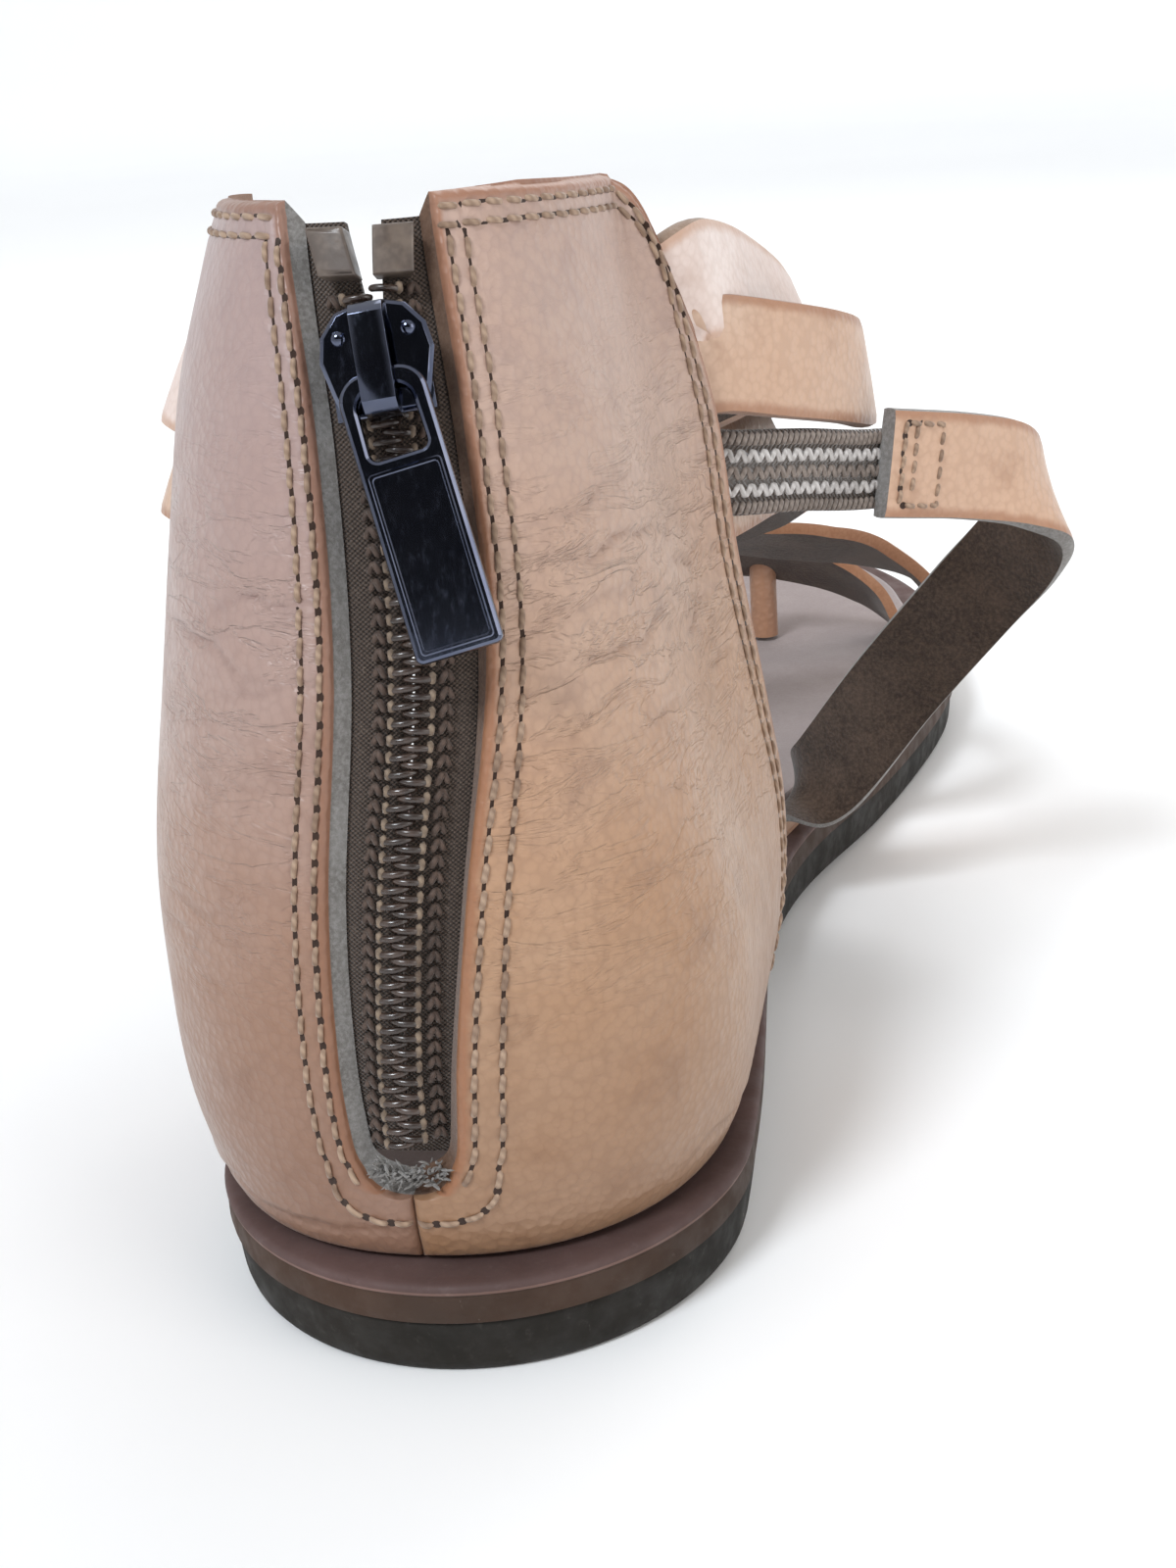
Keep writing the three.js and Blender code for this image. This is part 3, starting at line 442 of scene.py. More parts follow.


# The last number of each panel's leather is its share of painted cool light from above.
LATERAL_LEATHER = leather(
    "leather_lateral", rgb(158, 122, 100), rgb(168, 140, 126), rgb(112, 76, 56), rgb(136, 92, 66), 0.9, 0.42
)
MEDIAL_LEATHER = leather(
    "leather_medial", rgb(178, 137, 102), rgb(190, 158, 131), rgb(108, 70, 42), rgb(146, 94, 62), 1.2, 0.35
)
PINK_STRAP = leather(
    "leather_strap_pale", rgb(226, 204, 194), rgb(236, 222, 216), rgb(176, 142, 122), rgb(190, 148, 120)
)
TAN_STRAP = leather(
    "leather_strap_tan", rgb(202, 166, 140), rgb(214, 188, 168), rgb(146, 104, 76), rgb(158, 108, 76)
)
CUT_SUEDE = suede("suede_cut", rgb(110, 106, 102), rgb(160, 158, 156), 0.6)
STRAP_EDGE = suede("leather_cut_edge", rgb(134, 108, 88), rgb(166, 146, 130), 0.5, 0.08)
INNER_SUEDE = suede("suede_inner", rgb(50, 37, 29), rgb(112, 92, 78), 0.5, 0.2)
LINING = suede("lining", rgb(112, 86, 68), rgb(142, 118, 98), 0.3, 0.06)
CUT_BROWN = suede("cut_brown", rgb(92, 66, 50), rgb(128, 102, 84), 0.5, 0.1)
BURNISHED = suede("burnished_edge", rgb(138, 96, 70), rgb(170, 130, 102), 0.35, 0.05)
THREAD = thread("thread", rgb(172, 146, 124), rgb(100, 74, 56))
# Painted shade of the needle holes: the colour of the dark discs that stand in for the holes.
HOLE_SHADE = suede("needle_hole_shade", rgb(46, 30, 22), rgb(70, 48, 36), 0.3, 0.03)


# Heel counter surface


def rounded(value):
    return np.sign(value) * np.abs(value) ** (2 / COUNTER_EXPONENT)


def counter_size(name, z):
    return look_up(COUNTER, "up", name, np.clip(z_to_up(z), 0, 1))


def arc_half(x, z):
    """Half width of the counter's round back, before its panels flare towards their front edges."""
    half = np.where(x < 0, counter_size("lateral", z), counter_size("medial", z)) * BALL_WIDTH
    return half * (1 - counter_size("flare", z))


def panel_point(t, z):
    """The counter's plain outer surface: t runs from -1 (lateral front edge) to 1 (medial one)."""
    t, z = np.broadcast_arrays(np.asarray(t, float), np.asarray(z, float))
    half = arc_half(t, z)
    gained = half / (1 - counter_size("flare", z)) - half
    back = along_to_y(counter_size("back", z))
    front = along_to_y(counter_size("front", z))
    depth = HEEL_DEPTH * SOLE_LENGTH
    away = np.abs(t)
    slow = np.clip((away - FLARE_START) / (1 - FLARE_START), 0, 1) ** 1.5
    late = np.clip((away - FLARE_LATE) / (1 - FLARE_LATE), 0, 1) ** 2
    flare = gained * ((1 - LATE_SHARE) * slow + LATE_SHARE * late)
    angle = np.minimum(away / ARC_SHARE, 1) * np.pi / 2
    run = np.maximum(away - ARC_SHARE, 0) / (1 - ARC_SHARE)
    x = np.sign(t) * (half * rounded(np.sin(angle)) + flare)
    y = back + depth * (1 - rounded(np.cos(angle))) + run * (front - back - depth)
    return points(x, y, z)


def normal_of(surface, u, v, du, dv):
    along_u = surface(u + du, v) - surface(u - du, v)
    along_v = surface(u, v + dv) - surface(u, v - dv)
    return unit(np.cross(along_u, along_v))


def panel_normal(t, z):
    return normal_of(panel_point, t, z, 0.004, 0.5)


def wall_point(t, z, depth):
    return panel_point(t, z) - panel_normal(t, z) * np.asarray(depth)[..., None]


def back_point(x, z):
    x, z = np.broadcast_arrays(np.asarray(x, float), np.asarray(z, float))
    half = arc_half(x, z)
    share = (1 - (np.abs(x) / half) ** COUNTER_EXPONENT) ** (1 / COUNTER_EXPONENT)
    return points(x, along_to_y(counter_size("back", z)) + HEEL_DEPTH * SOLE_LENGTH * (1 - share), z)


def slot_centre(z):
    return look_up(SLOT, "up", "centre", np.clip(z_to_up(z), 0, 1)) * BALL_WIDTH


def slot_half(z):
    return look_up(SLOT, "up", "width", z_to_up(z)) * SLOT_WIDTH / 2


def zip_point(offset, z, depth):
    x = offset + slot_centre(z)
    normal = normal_of(back_point, x, z, 0.2, 0.5)
    return back_point(x, z) - normal * np.asarray(depth)[..., None]


def collar_top(t):
    pairs = zip(CORNER["lateral"], CORNER["medial"])
    start, gentle, sharp = (np.where(np.asarray(t) < 0, lateral, medial) for lateral, medial in pairs)
    run = np.clip((np.abs(t) - start) / (1 - start), 0, 1)
    return up_to_z(1) - CORNER_DROP * UPPER_RISE * (gentle * run**1.15 + (1 - gentle) * run**sharp)


def run_of(x, z):
    """The panel's run at a distance x from the heel's centre line."""
    half = arc_half(x, z)
    angle = np.arcsin(np.clip(np.abs(x) / half, 0, 1) ** (COUNTER_EXPONENT / 2))
    return np.sign(x) * ARC_SHARE * angle * 2 / np.pi


# The opening in the leather is wider than the zip's slot, by a bevel of bare suede.
OPENING_FOOT = 7.0  # height of the opening's rounded end over the counter's foot
OPENING_ROUND = 4.2
OPENING_POWER = 2.4
BEVEL = table(
    "up lateral medial",
    (0.08, 1.4, 0.9),
    (0.3, 1.2, 0.45),
    (0.6, 1.2, 0.4),
    (0.85, 1.3, 0.45),
    (1.0, 1.5, 0.6),
)


def opening_cap(share):
    """Width of the opening's rounded end, as a share of its full width."""
    return (1 - (1 - np.clip(share, 0, 1)) ** OPENING_POWER) ** (1 / OPENING_POWER)


def opening_edge(side, z):
    """Run of the leather's edge beside the opening, or of the seam under it."""
    cap = opening_cap((z - UPPER_FOOT - OPENING_FOOT) / OPENING_ROUND)
    bevel = look_up(BEVEL, "up", "lateral" if side < 0 else "medial", z_to_up(z))
    return run_of(slot_centre(z) + side * (slot_half(z) + bevel) * cap, z)


# Creases, listed one by one: side, distance from the opening's edge, height over the foot, length, slope,
# depth, width.
CREASES = table(
    "side from high long slope deep wide",
    (1, 16, 66.0, 24, 0.05, 0.22, 0.55),
    (1, 20, 61.5, 34, -0.06, 0.42, 0.65),
    (1, 38, 60.0, 22, 0.1, 0.35, 0.6),
    (1, 14, 57.5, 26, 0.1, 0.34, 0.6),
    (1, 42, 55.5, 26, -0.05, 0.42, 0.7),
    (1, 22, 53.0, 30, 0.04, 0.38, 0.65),
    (1, 12, 48.0, 20, 0.12, 0.24, 0.5),
    (1, 46, 50.0, 22, 0.06, 0.4, 0.65),
    (1, 30, 45.0, 28, -0.08, 0.24, 0.55),
    (1, 52, 44.0, 16, 0.1, 0.3, 0.6),
    (1, 24, 39.5, 24, 0.05, 0.16, 0.5),
    (1, 44, 4.2, 34, 0.02, 0.5, 0.8),
    (1, 56, 7.5, 20, 0.08, 0.24, 0.9),
    (-1, 8, 60.5, 20, -0.16, 0.42, 0.6),
    (-1, 16, 56.0, 22, 0.18, 0.4, 0.6),
    (-1, 7, 53.0, 16, -0.1, 0.3, 0.55),
    (-1, 20, 49.5, 20, 0.06, 0.26, 0.55),
    (-1, 10, 45.0, 18, 0.05, 0.24, 0.5),
    (-1, 15, 33.0, 18, -0.12, 0.28, 0.6),
    (-1, 20, 29.5, 16, -0.25, 0.26, 0.6),
    (-1, 14, 25.5, 14, 0.05, 0.16, 0.6),
    (-1, 26, 3.4, 34, 0.02, 0.42, 0.8),
    (-1, 9, 3.0, 18, 0.05, 0.3, 0.7),
)
# Distances of the two rows of stitches from the opening's edge, the collar and the front edge.
ROWS = {
    (-1, "opening"): (1.0, 2.9),
    (1, "opening"): (1.6, 4.1),
    "collar": (1.3, 2.8),
    "front": (2.6, 4.9),
}
CREASE_NARROWING = 0.62
SHOULDER_HEIGHT = 0.3  # of a crease's raised shoulder, as a share of its depth
SHOULDER_AWAY = 1.9
SHOULDER_WIDTH = 1.3
DEEP_CREASE = 0.4  # depth from which a crease gets its full painted shade


def crease_depth(side, along, height):
    """Depth of the creases and the painted shade in their troughs, at distances along and over a panel."""
    deep = np.zeros_like(along)
    crease_shade = np.zeros_like(along)
    for k in np.nonzero(CREASES["side"] == side)[0]:
        row = {name: CREASES[name][k] for name in CREASES}
        away = along - row["from"]
        wave = 0.8 * np.sin(away / 2.9 + k) + 0.4 * np.sin(away / 1.3 + 2 * k)
        off = height - row["high"] - row["slope"] * away - wave * 0.7
        window = np.clip(1 - (2 * away / row["long"]) ** 2, 0, 1) ** 1.2
        wide = CREASE_NARROWING * row["wide"]
        trough = bell(off, wide) * window
        shoulder = bell(off - SHOULDER_AWAY * wide, SHOULDER_WIDTH * wide) * window
        deep += row["deep"] * (trough - SHOULDER_HEIGHT * shoulder)
        # Painted shade mask: strongest in the troughs of deep creases.
        crease_shade = np.maximum(crease_shade, trough * min(row["deep"] / DEEP_CREASE, 1))
    return deep, crease_shade


EDGE_RADIUS = 0.9
ROW_DENT = 0.14  # how deep the thread pulls the leather in
ROW_DENT_WIDTH = 0.45
SURFACE_WAVE = 0.14
TUCK = 0.6  # how far the leather turns in at the midsole
TUCK_HEIGHT = 2.2
FULL_RIM = 9.0  # a rim distance beyond which no burnish shows


def edge_round(distance, radius):
    near = np.clip(1 - distance / radius, 0, 1)
    return radius * (1 - np.sqrt(1 - near**2))


def row_dents(distance, rows):
    return sum(ROW_DENT * bell(distance - row, ROW_DENT_WIDTH) for row in rows)


def leather_surface(side, share, z):
    """Points of a panel's finished outer face: share runs from the opening's edge to the front edge."""
    start = opening_edge(side, z)
    t = start + (side - start) * share
    top = collar_top(t)
    width = np.abs(side - start) * PANEL_SPREAD
    from_opening = share * width
    from_front = (1 - share) * width
    from_top = top - z
    height = z - UPPER_FOOT
    open_here = np.clip((height - OPENING_FOOT) / 1.5, 0, 1)
    deep, crease_shade = crease_depth(side, from_opening, height)
    rows = row_dents(from_opening, ROWS[side, "opening"]) * open_here
    rows = rows + row_dents(from_top, ROWS["collar"]) + row_dents(from_front, ROWS["front"])
    edges = np.minimum(np.minimum(from_opening, from_front), np.minimum(from_top, np.maximum(height, 0)))
    waves = SURFACE_WAVE * np.sin(from_opening / 9 + z / 14) * np.sin(z / 11 + side)
    waves = waves * np.clip(edges / 6, 0, 1)
    tuck = TUCK * bell(height, TUCK_HEIGHT)
    depth = edge_round(edges, EDGE_RADIUS) + rows + deep + tuck - waves
    rim = np.minimum(np.minimum(from_top, from_front), np.where(open_here > 0.3, from_opening, FULL_RIM))
    rim = np.minimum(rim, np.maximum(height, 0) * 1.6 + 0.6)
    wrinkle = np.clip(bell(height - 56, 20) + 0.35 * bell(height - 30, 9), 0, 1) * np.clip(edges / 3, 0, 1)
    return wall_point(t, z, depth), {"rim": rim, "fold_shade": crease_shade, "wrinkle": wrinkle}


def levels(*parts):
    return np.unique(np.round(np.concatenate(parts), 5))


PANEL_HEIGHT = UPPER_RISE - GAP
SKIVE = 1.4  # how much lower the collar's inner edge lies than its outer one
ROW_LEVELS = levels(
    [0, 0.15, 0.4, 0.8],
    np.linspace(1.3, OPENING_FOOT, 12),
    OPENING_FOOT + OPENING_ROUND * (1 - np.cos(np.linspace(0, np.pi / 2, 14))),
    np.linspace(OPENING_FOOT + OPENING_ROUND, PANEL_HEIGHT - 1.2, 130),
    PANEL_HEIGHT - np.array([0.9, 0.6, 0.35, 0.15, 0.04, 0]),
)
COLUMN_LEVELS = levels(
    [0, 0.0008, 0.002, 0.0045, 0.008, 0.0115],
    np.linspace(0.016, 0.984, 148),
    [0.989, 0.993, 0.996, 0.9985, 1],
)
SLOT_END_RISE = 2.6  # from the leather's rounded end to the slot's
SLOT_END_ROUND = 2.5
EDGE_STEPS = 5
EDGE_JITTER = 0.05
LEATHER, CUT, LINED, BURNT = range(4)  # faces of a panel


def counter_panel(name, side, look):
    """One panel of the counter: its dressed outer face, its plain lining and the edges between them."""
    share, level = np.meshgrid(COLUMN_LEVELS, ROW_LEVELS)
    nominal = side * share
    z = UPPER_FOOT + level / PANEL_HEIGHT * (collar_top(nominal) - UPPER_FOOT)
    outer, values = leather_surface(side, share, z)
    cap = opening_cap((z - UPPER_FOOT - OPENING_FOOT - SLOT_END_RISE) / SLOT_END_ROUND)
    slot_run = run_of(slot_centre(z) + side * slot_half(z) * cap, z)
    t = slot_run + (side - slot_run) * share
    z = UPPER_FOOT + level / PANEL_HEIGHT * (collar_top(nominal) - SKIVE - UPPER_FOOT)
    inner = wall_point(t, z, np.full_like(z, WALL))
    kinds = (LEATHER, LINED, CUT, BURNT, BURNT, BURNT)
    vertices, faces, slots = walled(outer, inner, side < 0, kinds, EDGE_STEPS, EDGE_JITTER)
    attributes = {}
    for key, value in values.items():
        filler = FULL_RIM if key == "rim" else 0.0
        attributes[key] = np.concatenate([value.ravel(), np.full(len(vertices) - value.size, filler)])
    looks = [look, CUT_SUEDE if side < 0 else CUT_BROWN, LINING, BURNISHED]
    return make_mesh(name, vertices, faces, looks, slots, attributes, 55)


# Stitches

STITCH_PITCH = 2.4
STITCH_LENGTH = 2.05
STITCH_RADIUS = 0.28
STITCH_LIFT = 0.2
STITCH_SINK = 0.42
STITCH_LEAN = 0.1
STITCH_STEPS = 7
HOLE_LENGTH = 0.48
HOLE_WIDTH = 0.4
HOLE_SIDES = 10
HOLE_OUT = 0.035  # of a hole's rim over the leather
HOLE_WALL = 0.12


def smoothed(path, passes):
    """A path with its corners eased."""
    path = np.asarray(path, float)
    for _ in range(passes):
        inner = (path[:-2] + 2 * path[1:-1] + path[2:]) / 4
        path = np.concatenate([path[:1], inner, path[-1:]])
    return path


def resampled(path, step):
    """Points at even steps along a path."""
    gaps = np.linalg.norm(np.diff(path, axis=0), axis=1)
    along = np.concatenate([[0], np.cumsum(gaps)])
    count = max(int(along[-1] / step), 2)
    at = np.linspace(0, along[-1], count + 1)
    return sample(path, along, at), at


def sew(stitches, hole_shades, path, normals, pitch=STITCH_PITCH, radius=STITCH_RADIUS):
    """Stitches laid along a path of surface points, sunk at their ends, with a dark disc of painted shade for
    the needle hole between two.
    """
    both, at = resampled(np.concatenate([path, normals], axis=1), 0.2)
    line, up = both[:, :3], unit(both[:, 3:])
    length = pitch * STITCH_LENGTH / STITCH_PITCH
    share = np.linspace(-1, 1, STITCH_STEPS)
    turn = np.linspace(0, 2 * np.pi, HOLE_SIDES, endpoint=False)[:, None]
    around = [(i, (i + 1) % HOLE_SIDES) for i in range(HOLE_SIDES)]
    below = HOLE_SIDES + 1
    faces = [[i, j, HOLE_SIDES] for i, j in around]
    faces += [[j, i, below + i] for i, j in around] + [[j, below + i, below + j] for i, j in around]
    for k in range(int(at[-1] / pitch)):
        middle = (k + 0.5) * pitch
        spots = middle + length * share / 2
        centre, normal = sample(line, at, spots), unit(sample(up, at, spots))
        lift = STITCH_LIFT - STITCH_SINK * share**4
        lean = np.cross(unit(np.gradient(centre, axis=0)), normal) * (share * STITCH_LEAN)[:, None]
        stitches.tube(centre + normal * lift[:, None] + lean, radius, normal, 8, 0.8)
        edge = middle + pitch / 2
        spot, facing = sample(line, at, edge), unit(sample(up, at, edge))
        along = unit(sample(line, at, edge + 0.1) - spot + 1e-9)
        across = np.cross(along, facing)
        # A dark disc of painted shade over each needle hole, with a short skirt into the leather.
        disc = spot + facing * HOLE_OUT
        ring = disc + along * (HOLE_LENGTH * np.cos(turn)) + across * (HOLE_WIDTH * np.sin(turn))
        hole_shades.add(np.concatenate([ring, disc[None] + facing * 0.01, ring - facing * HOLE_WALL]), faces)


U_TURN_DROP = 2.6  # of the outer row's turn under the opening
U_TURN_POWER = 0.7


def panel_rows(side):
    """Runs and heights of the rows of stitches on one panel."""
    found = []
    high = np.linspace(0, 1, 300)
    for k, offset in enumerate(ROWS[side, "opening"]):
        lowest = OPENING_FOOT + 1.2 if k == 0 else OPENING_FOOT + 3.2
        z = UPPER_FOOT + lowest + (PANEL_HEIGHT - 3.0 - lowest) * high
        t = opening_edge(side, z) + side * offset / PANEL_SPREAD
        path = np.stack([t, z], -1)
        if k == 1:
            turn = np.linspace(0, np.pi / 2, 30)
            corner = path[0]
            middle = run_of(slot_centre(z[:1]), z[:1])[0]
            foot = UPPER_FOOT + OPENING_FOOT - U_TURN_DROP
            runs = middle + (corner[0] - middle) * np.sin(turn) ** U_TURN_POWER
            heights = foot + (corner[1] - foot) * (1 - np.cos(turn) ** U_TURN_POWER)
            path = np.concatenate([np.stack([runs, heights], -1)[:-1], path])
        found.append(smoothed(path, 6))
    for offset, front in zip(ROWS["collar"], ROWS["front"]):
        start = opening_edge(side, np.array([up_to_z(1)]))[0] + side * 0.005
        end = side * (1 - front / PANEL_SPREAD)
        t = np.linspace(start, end, 220)
        collar = np.stack([t, collar_top(t) - offset], -1)
        down = np.linspace(collar[-1, 1], UPPER_FOOT + 0.5, 240)[1:]
        edge = np.stack([np.full_like(down, end), down], -1)
        found.append(smoothed(np.concatenate([collar, edge]), 160))
    return found


def sew_counter():
    stitches, hole_shades = Gathered(), Gathered()
    for side in (-1, 1):
        for path in panel_rows(side):
            t, z = path[:, 0], path[:, 1]
            start = opening_edge(side, z)
            share = np.clip((t - start) / (side - start), 0, 1)
            surface, _ = leather_surface(side, share, z)
            sew(stitches, hole_shades, surface, panel_normal(t, z))
    return stitches.make("counter_stitches", THREAD), hole_shades.make("counter_stitch_hole_shades", HOLE_SHADE)


# Straps


def catmull(nodes, u):
    """A smooth curve through rows of values, as a uniform Catmull-Rom spline."""
    nodes = np.asarray(nodes, float)
    last = len(nodes) - 1
    padded = np.concatenate([[2 * nodes[0] - nodes[1]], nodes, [2 * nodes[-1] - nodes[-2]]])
    at = np.clip(np.asarray(u, float), 0, 1) * last
    i = np.minimum(at.astype(int), last - 1)
    w = (at - i)[:, None]
    p0, p1, p2, p3 = (padded[i + k] for k in range(4))
    t0, t1 = 0.5 * (p2 - p0), 0.5 * (p3 - p1)
    return (2 * p1 - 2 * p2 + t0 + t1) * w**3 + (-3 * p1 + 3 * p2 - 2 * t0 - t1) * w**2 + t0 * w + p1


def strap_row(across, along, up, *face):
    return (across * BALL_WIDTH, along_to_y(along), up_to_z(up), *unit(np.array(face, float)))


def anchor_rows(side, up, depth, climb=0):
    """The end of a strap that lies behind the counter's wall, near its front edge."""
    rows = []
    for away in (1 - ANCHOR_RUN, 1 - ANCHOR_RUN / 2, 0.99):
        t, z = np.array([side * away]), np.array([up_to_z(up - climb * (0.99 - away) / ANCHOR_RUN)])
        rows.append((*wall_point(t, z, np.array([depth]))[0], *panel_normal(t, z)[0]))
    return rows


def end_round(along):
    from_heel = np.clip(along / HEEL_ROUND, 0, 1)
    from_toe = np.clip((1 - along) / TOE_ROUND, 0, 1)
    return np.sqrt(1 - (1 - from_heel) ** 2) * np.sqrt(1 - (1 - from_toe) ** 2)


def sole_edge(side, along):
    medial = look_up(OUTLINE, "along", "medial", along) * BALL_WIDTH
    lateral = look_up(OUTLINE, "along", "lateral", along) * BALL_WIDTH
    return (medial - lateral) / 2 + side * (medial + lateral) / 2 * end_round(along)


def sole_lift(along):
    """How far the sole rises from the floor: at the toe, and a little at the waist."""
    toe = np.clip((along - SPRING_START) / (1 - SPRING_START), 0, 1)
    waist = np.clip((along - ARCH_START) / (ARCH_END - ARCH_START), 0, 1)
    return TOE_SPRING * toe**2 + ARCH_RISE * np.sin(np.pi * waist) ** 2


def foot_rows(side, along):
    """The end of a strap that stands on the midsole's rim."""
    x = sole_edge(side, along) - side * (LEDGE + STRAP_THICKNESS / 2)
    foot = UPPER_FOOT + sole_lift(along)
    run = 2 / SOLE_LENGTH
    slant = (sole_edge(side, along + run) - sole_edge(side, along - run)) / 4
    face = unit(np.array([side, -side * slant, 0.0]))
    return [(x, along_to_y(along), foot + drop, *face) for drop in (STRAP_THICKNESS, -2 * STRAP_THICKNESS)]


class Strap:
    """A strap's path: rows of centre point and outer face, smoothed."""

    def __init__(self, rows, width, thickness, count=220):
        rows = np.array(rows, float)
        self.width, self.thickness = width, thickness
        u = np.linspace(0, 1, count)
        self.points = catmull(rows[:, :3], u)
        self.runs = unit(np.gradient(self.points, axis=0))
        faces = catmull(rows[:, 3:], u)
        faces = faces - self.runs * np.sum(faces * self.runs, axis=1, keepdims=True)
        self.faces = unit(faces)
        self.rises = unit(np.cross(self.faces, self.runs))
        gaps = np.linalg.norm(np.diff(self.points, axis=0), axis=1)
        self.along = np.concatenate([[0], np.cumsum(gaps)])

    def at(self, distance, across, out):
        """Surface points and outward directions at distances along and across the strap."""
        distance, across = np.broadcast_arrays(np.asarray(distance, float), np.asarray(across, float))
        face, rise = (unit(sample(ways, self.along, distance)) for ways in (self.faces, self.rises))
        return sample(self.points, self.along, distance) + rise * across[..., None] + face * out, face


OUTER, EDGE, INNER = 0, 1, 2  # faces of a strap
STRAP_EASE = 0.55  # rounding of a strap's upper edges
STRAP_CROWN = 0.12
RIB_HEIGHT = 0.16


def strap_section(width, thickness, ribs=0):
    """One turn round a strap: distance across, distance out, rim distance, and which face it belongs to."""
    half, thick = width / 2, thickness / 2
    ease = min(STRAP_EASE, thick * 0.7)
    steps = 40 if ribs else 14
    across = np.linspace(-1, 1, steps + 1) * (half - ease * 0.35)
    crown = STRAP_CROWN * (1 - (across / half) ** 2)
    rib = RIB_HEIGHT * np.abs(np.cos(np.pi * ribs * (across / width + 0.5) + np.pi / 2)) if ribs else 0
    edge = np.maximum(np.abs(across) - (half - ease), 0)
    outer = thick + crown + rib - (ease - np.sqrt(np.maximum(ease**2 - edge**2, 0)))
    below = np.linspace(half * 0.98, -half * 0.98, 11)
    side_steps = np.linspace(1, -1, 5)[1:-1] * thick * 0.62
    rows = [(a, o, half - abs(a), OUTER) for a, o in zip(across, outer)]
    rows += [(half, o, 0.0, EDGE) for o in side_steps]
    rows += [(a, -thick + 0.1 * (abs(a) / half) ** 6, FULL_RIM, INNER) for a in below]
    rows += [(-half, o, 0.0, EDGE) for o in side_steps[::-1]]
    return np.array(rows)


def strap_piece(name, strap, looks, ribs=0, waves=0.12):
    """A strap's mesh, ending on the sole where it reaches it."""
    section = strap_section(strap.width, strap.thickness, ribs)
    across, out, rim, kind = section.T
    count, turn = len(strap.points), len(section)
    wave = waves * (np.sin(strap.along / 7) + 0.6 * np.sin(strap.along / 3.1))
    out = (out + wave[:, None])[..., None]
    grid = strap.points[:, None] + strap.rises[:, None] * across[:, None] + strap.faces[:, None] * out
    floor = SOLE_TOP + 0.05 + sole_lift(grid[..., 1] / SOLE_LENGTH + ORIGIN_ALONG)
    grid[..., 2] = np.maximum(grid[..., 2], floor)
    first = list(range(turn))
    faces = grid_faces(count, turn, wrap=True, flip=True).tolist()
    faces += [first, [(count - 1) * turn + k for k in first[::-1]]]
    after = np.roll(kind, -1)
    kind = np.where(kind == after, kind, EDGE).astype(int)
    turning = np.linalg.norm(np.gradient(strap.runs, axis=0), axis=1)
    bend = turning / np.maximum(np.gradient(strap.along), 1e-6)
    values = {
        "rim": rim[None, :],
        # Painted shade where the strap bends sharply.
        "fold_shade": np.clip(bend * 2.2 - 0.1, 0, 0.6)[:, None],
        "across": across[None, :],
        "run": strap.along[:, None],
    }
    values = {key: np.broadcast_to(value, (count, turn)).ravel() for key, value in values.items()}
    slots = np.tile(kind, count - 1).tolist() + [EDGE, EDGE]
    return make_mesh(name, grid.reshape(-1, 3), faces, looks, slots, values, 50)


def rows_of(*rows):
    return [strap_row(*row) for row in rows]


# Straps: shares across, along and up, and the way the outer face looks.
ANKLE_UPPER = rows_of(
    (0.272, 0.232, 0.862, 1, 0, 0.1),
    (0.314, 0.294, 0.825, 0.95, -0.1, 0.25),
    (0.35, 0.349, 0.768, 0.95, 0.2, 0.3),
    (0.35, 0.381, 0.723, 0.85, 0.5, 0.25),
    (0.28, 0.419, 0.712, 0.45, 0.88, 0.2),
    (0.1, 0.448, 0.695, 0.08, 1, 0.2),
    (-0.12, 0.442, 0.685, -0.2, 0.97, 0.2),
    (-0.3, 0.4, 0.725, -0.75, 0.6, 0.15),
    (-0.375, 0.325, 0.762, -0.9, 0.1, 0.42),
    (-0.394, 0.262, 0.774, -0.88, -0.15, 0.45),
)
ANKLE_LOWER = rows_of(
    (0.284, 0.232, 0.782, 0.95, -0.3, 0.1),
    (0.355, 0.264, 0.758, 0.87, -0.5, 0.1),
    (0.413, 0.3, 0.732, 0.9, -0.4, 0.1),
    (0.43, 0.331, 0.71, 1, 0.05, 0.1),
    (0.412, 0.366, 0.698, 0.85, 0.5, 0.15),
    (0.305, 0.421, 0.68, 0.45, 0.87, 0.2),
    (0.1, 0.456, 0.645, 0.05, 0.97, 0.25),
    (-0.125, 0.452, 0.604, -0.25, 0.93, 0.25),
    (-0.33, 0.409, 0.61, -0.75, 0.63, 0.2),
    (-0.42, 0.343, 0.63, -0.93, 0.1, 0.35),
    (-0.435, 0.28, 0.654, -0.9, -0.15, 0.4),
)
SIDE_ELASTIC = rows_of(
    (0.3, 0.234, 0.649, 0.9, -0.45, 0),
    (0.368, 0.266, 0.632, 0.75, -0.66, 0),
    (0.43, 0.297, 0.612, 0.68, -0.73, 0.03),
    (0.5, 0.3245, 0.6, 0.68, -0.73, 0.04),
)
SIDE_STRAP = rows_of(
    (0.464, 0.299, 0.618, 0.68, -0.73, 0.04),
    (0.563, 0.333, 0.592, 0.7, -0.7, 0.05),
    (0.64, 0.361, 0.56, 0.86, -0.42, 0.2),
    (0.672, 0.383, 0.51, 0.93, 0.24, 0.3),
    (0.637, 0.396, 0.447, 0.6, 0.75, 0.25),
    (0.572, 0.408, 0.37, 0.25, 0.96, 0.15),
    (0.46, 0.422, 0.235, 0.25, 0.96, 0.15),
    (0.36, 0.433, 0.1, 0.55, 0.83, 0.1),
)
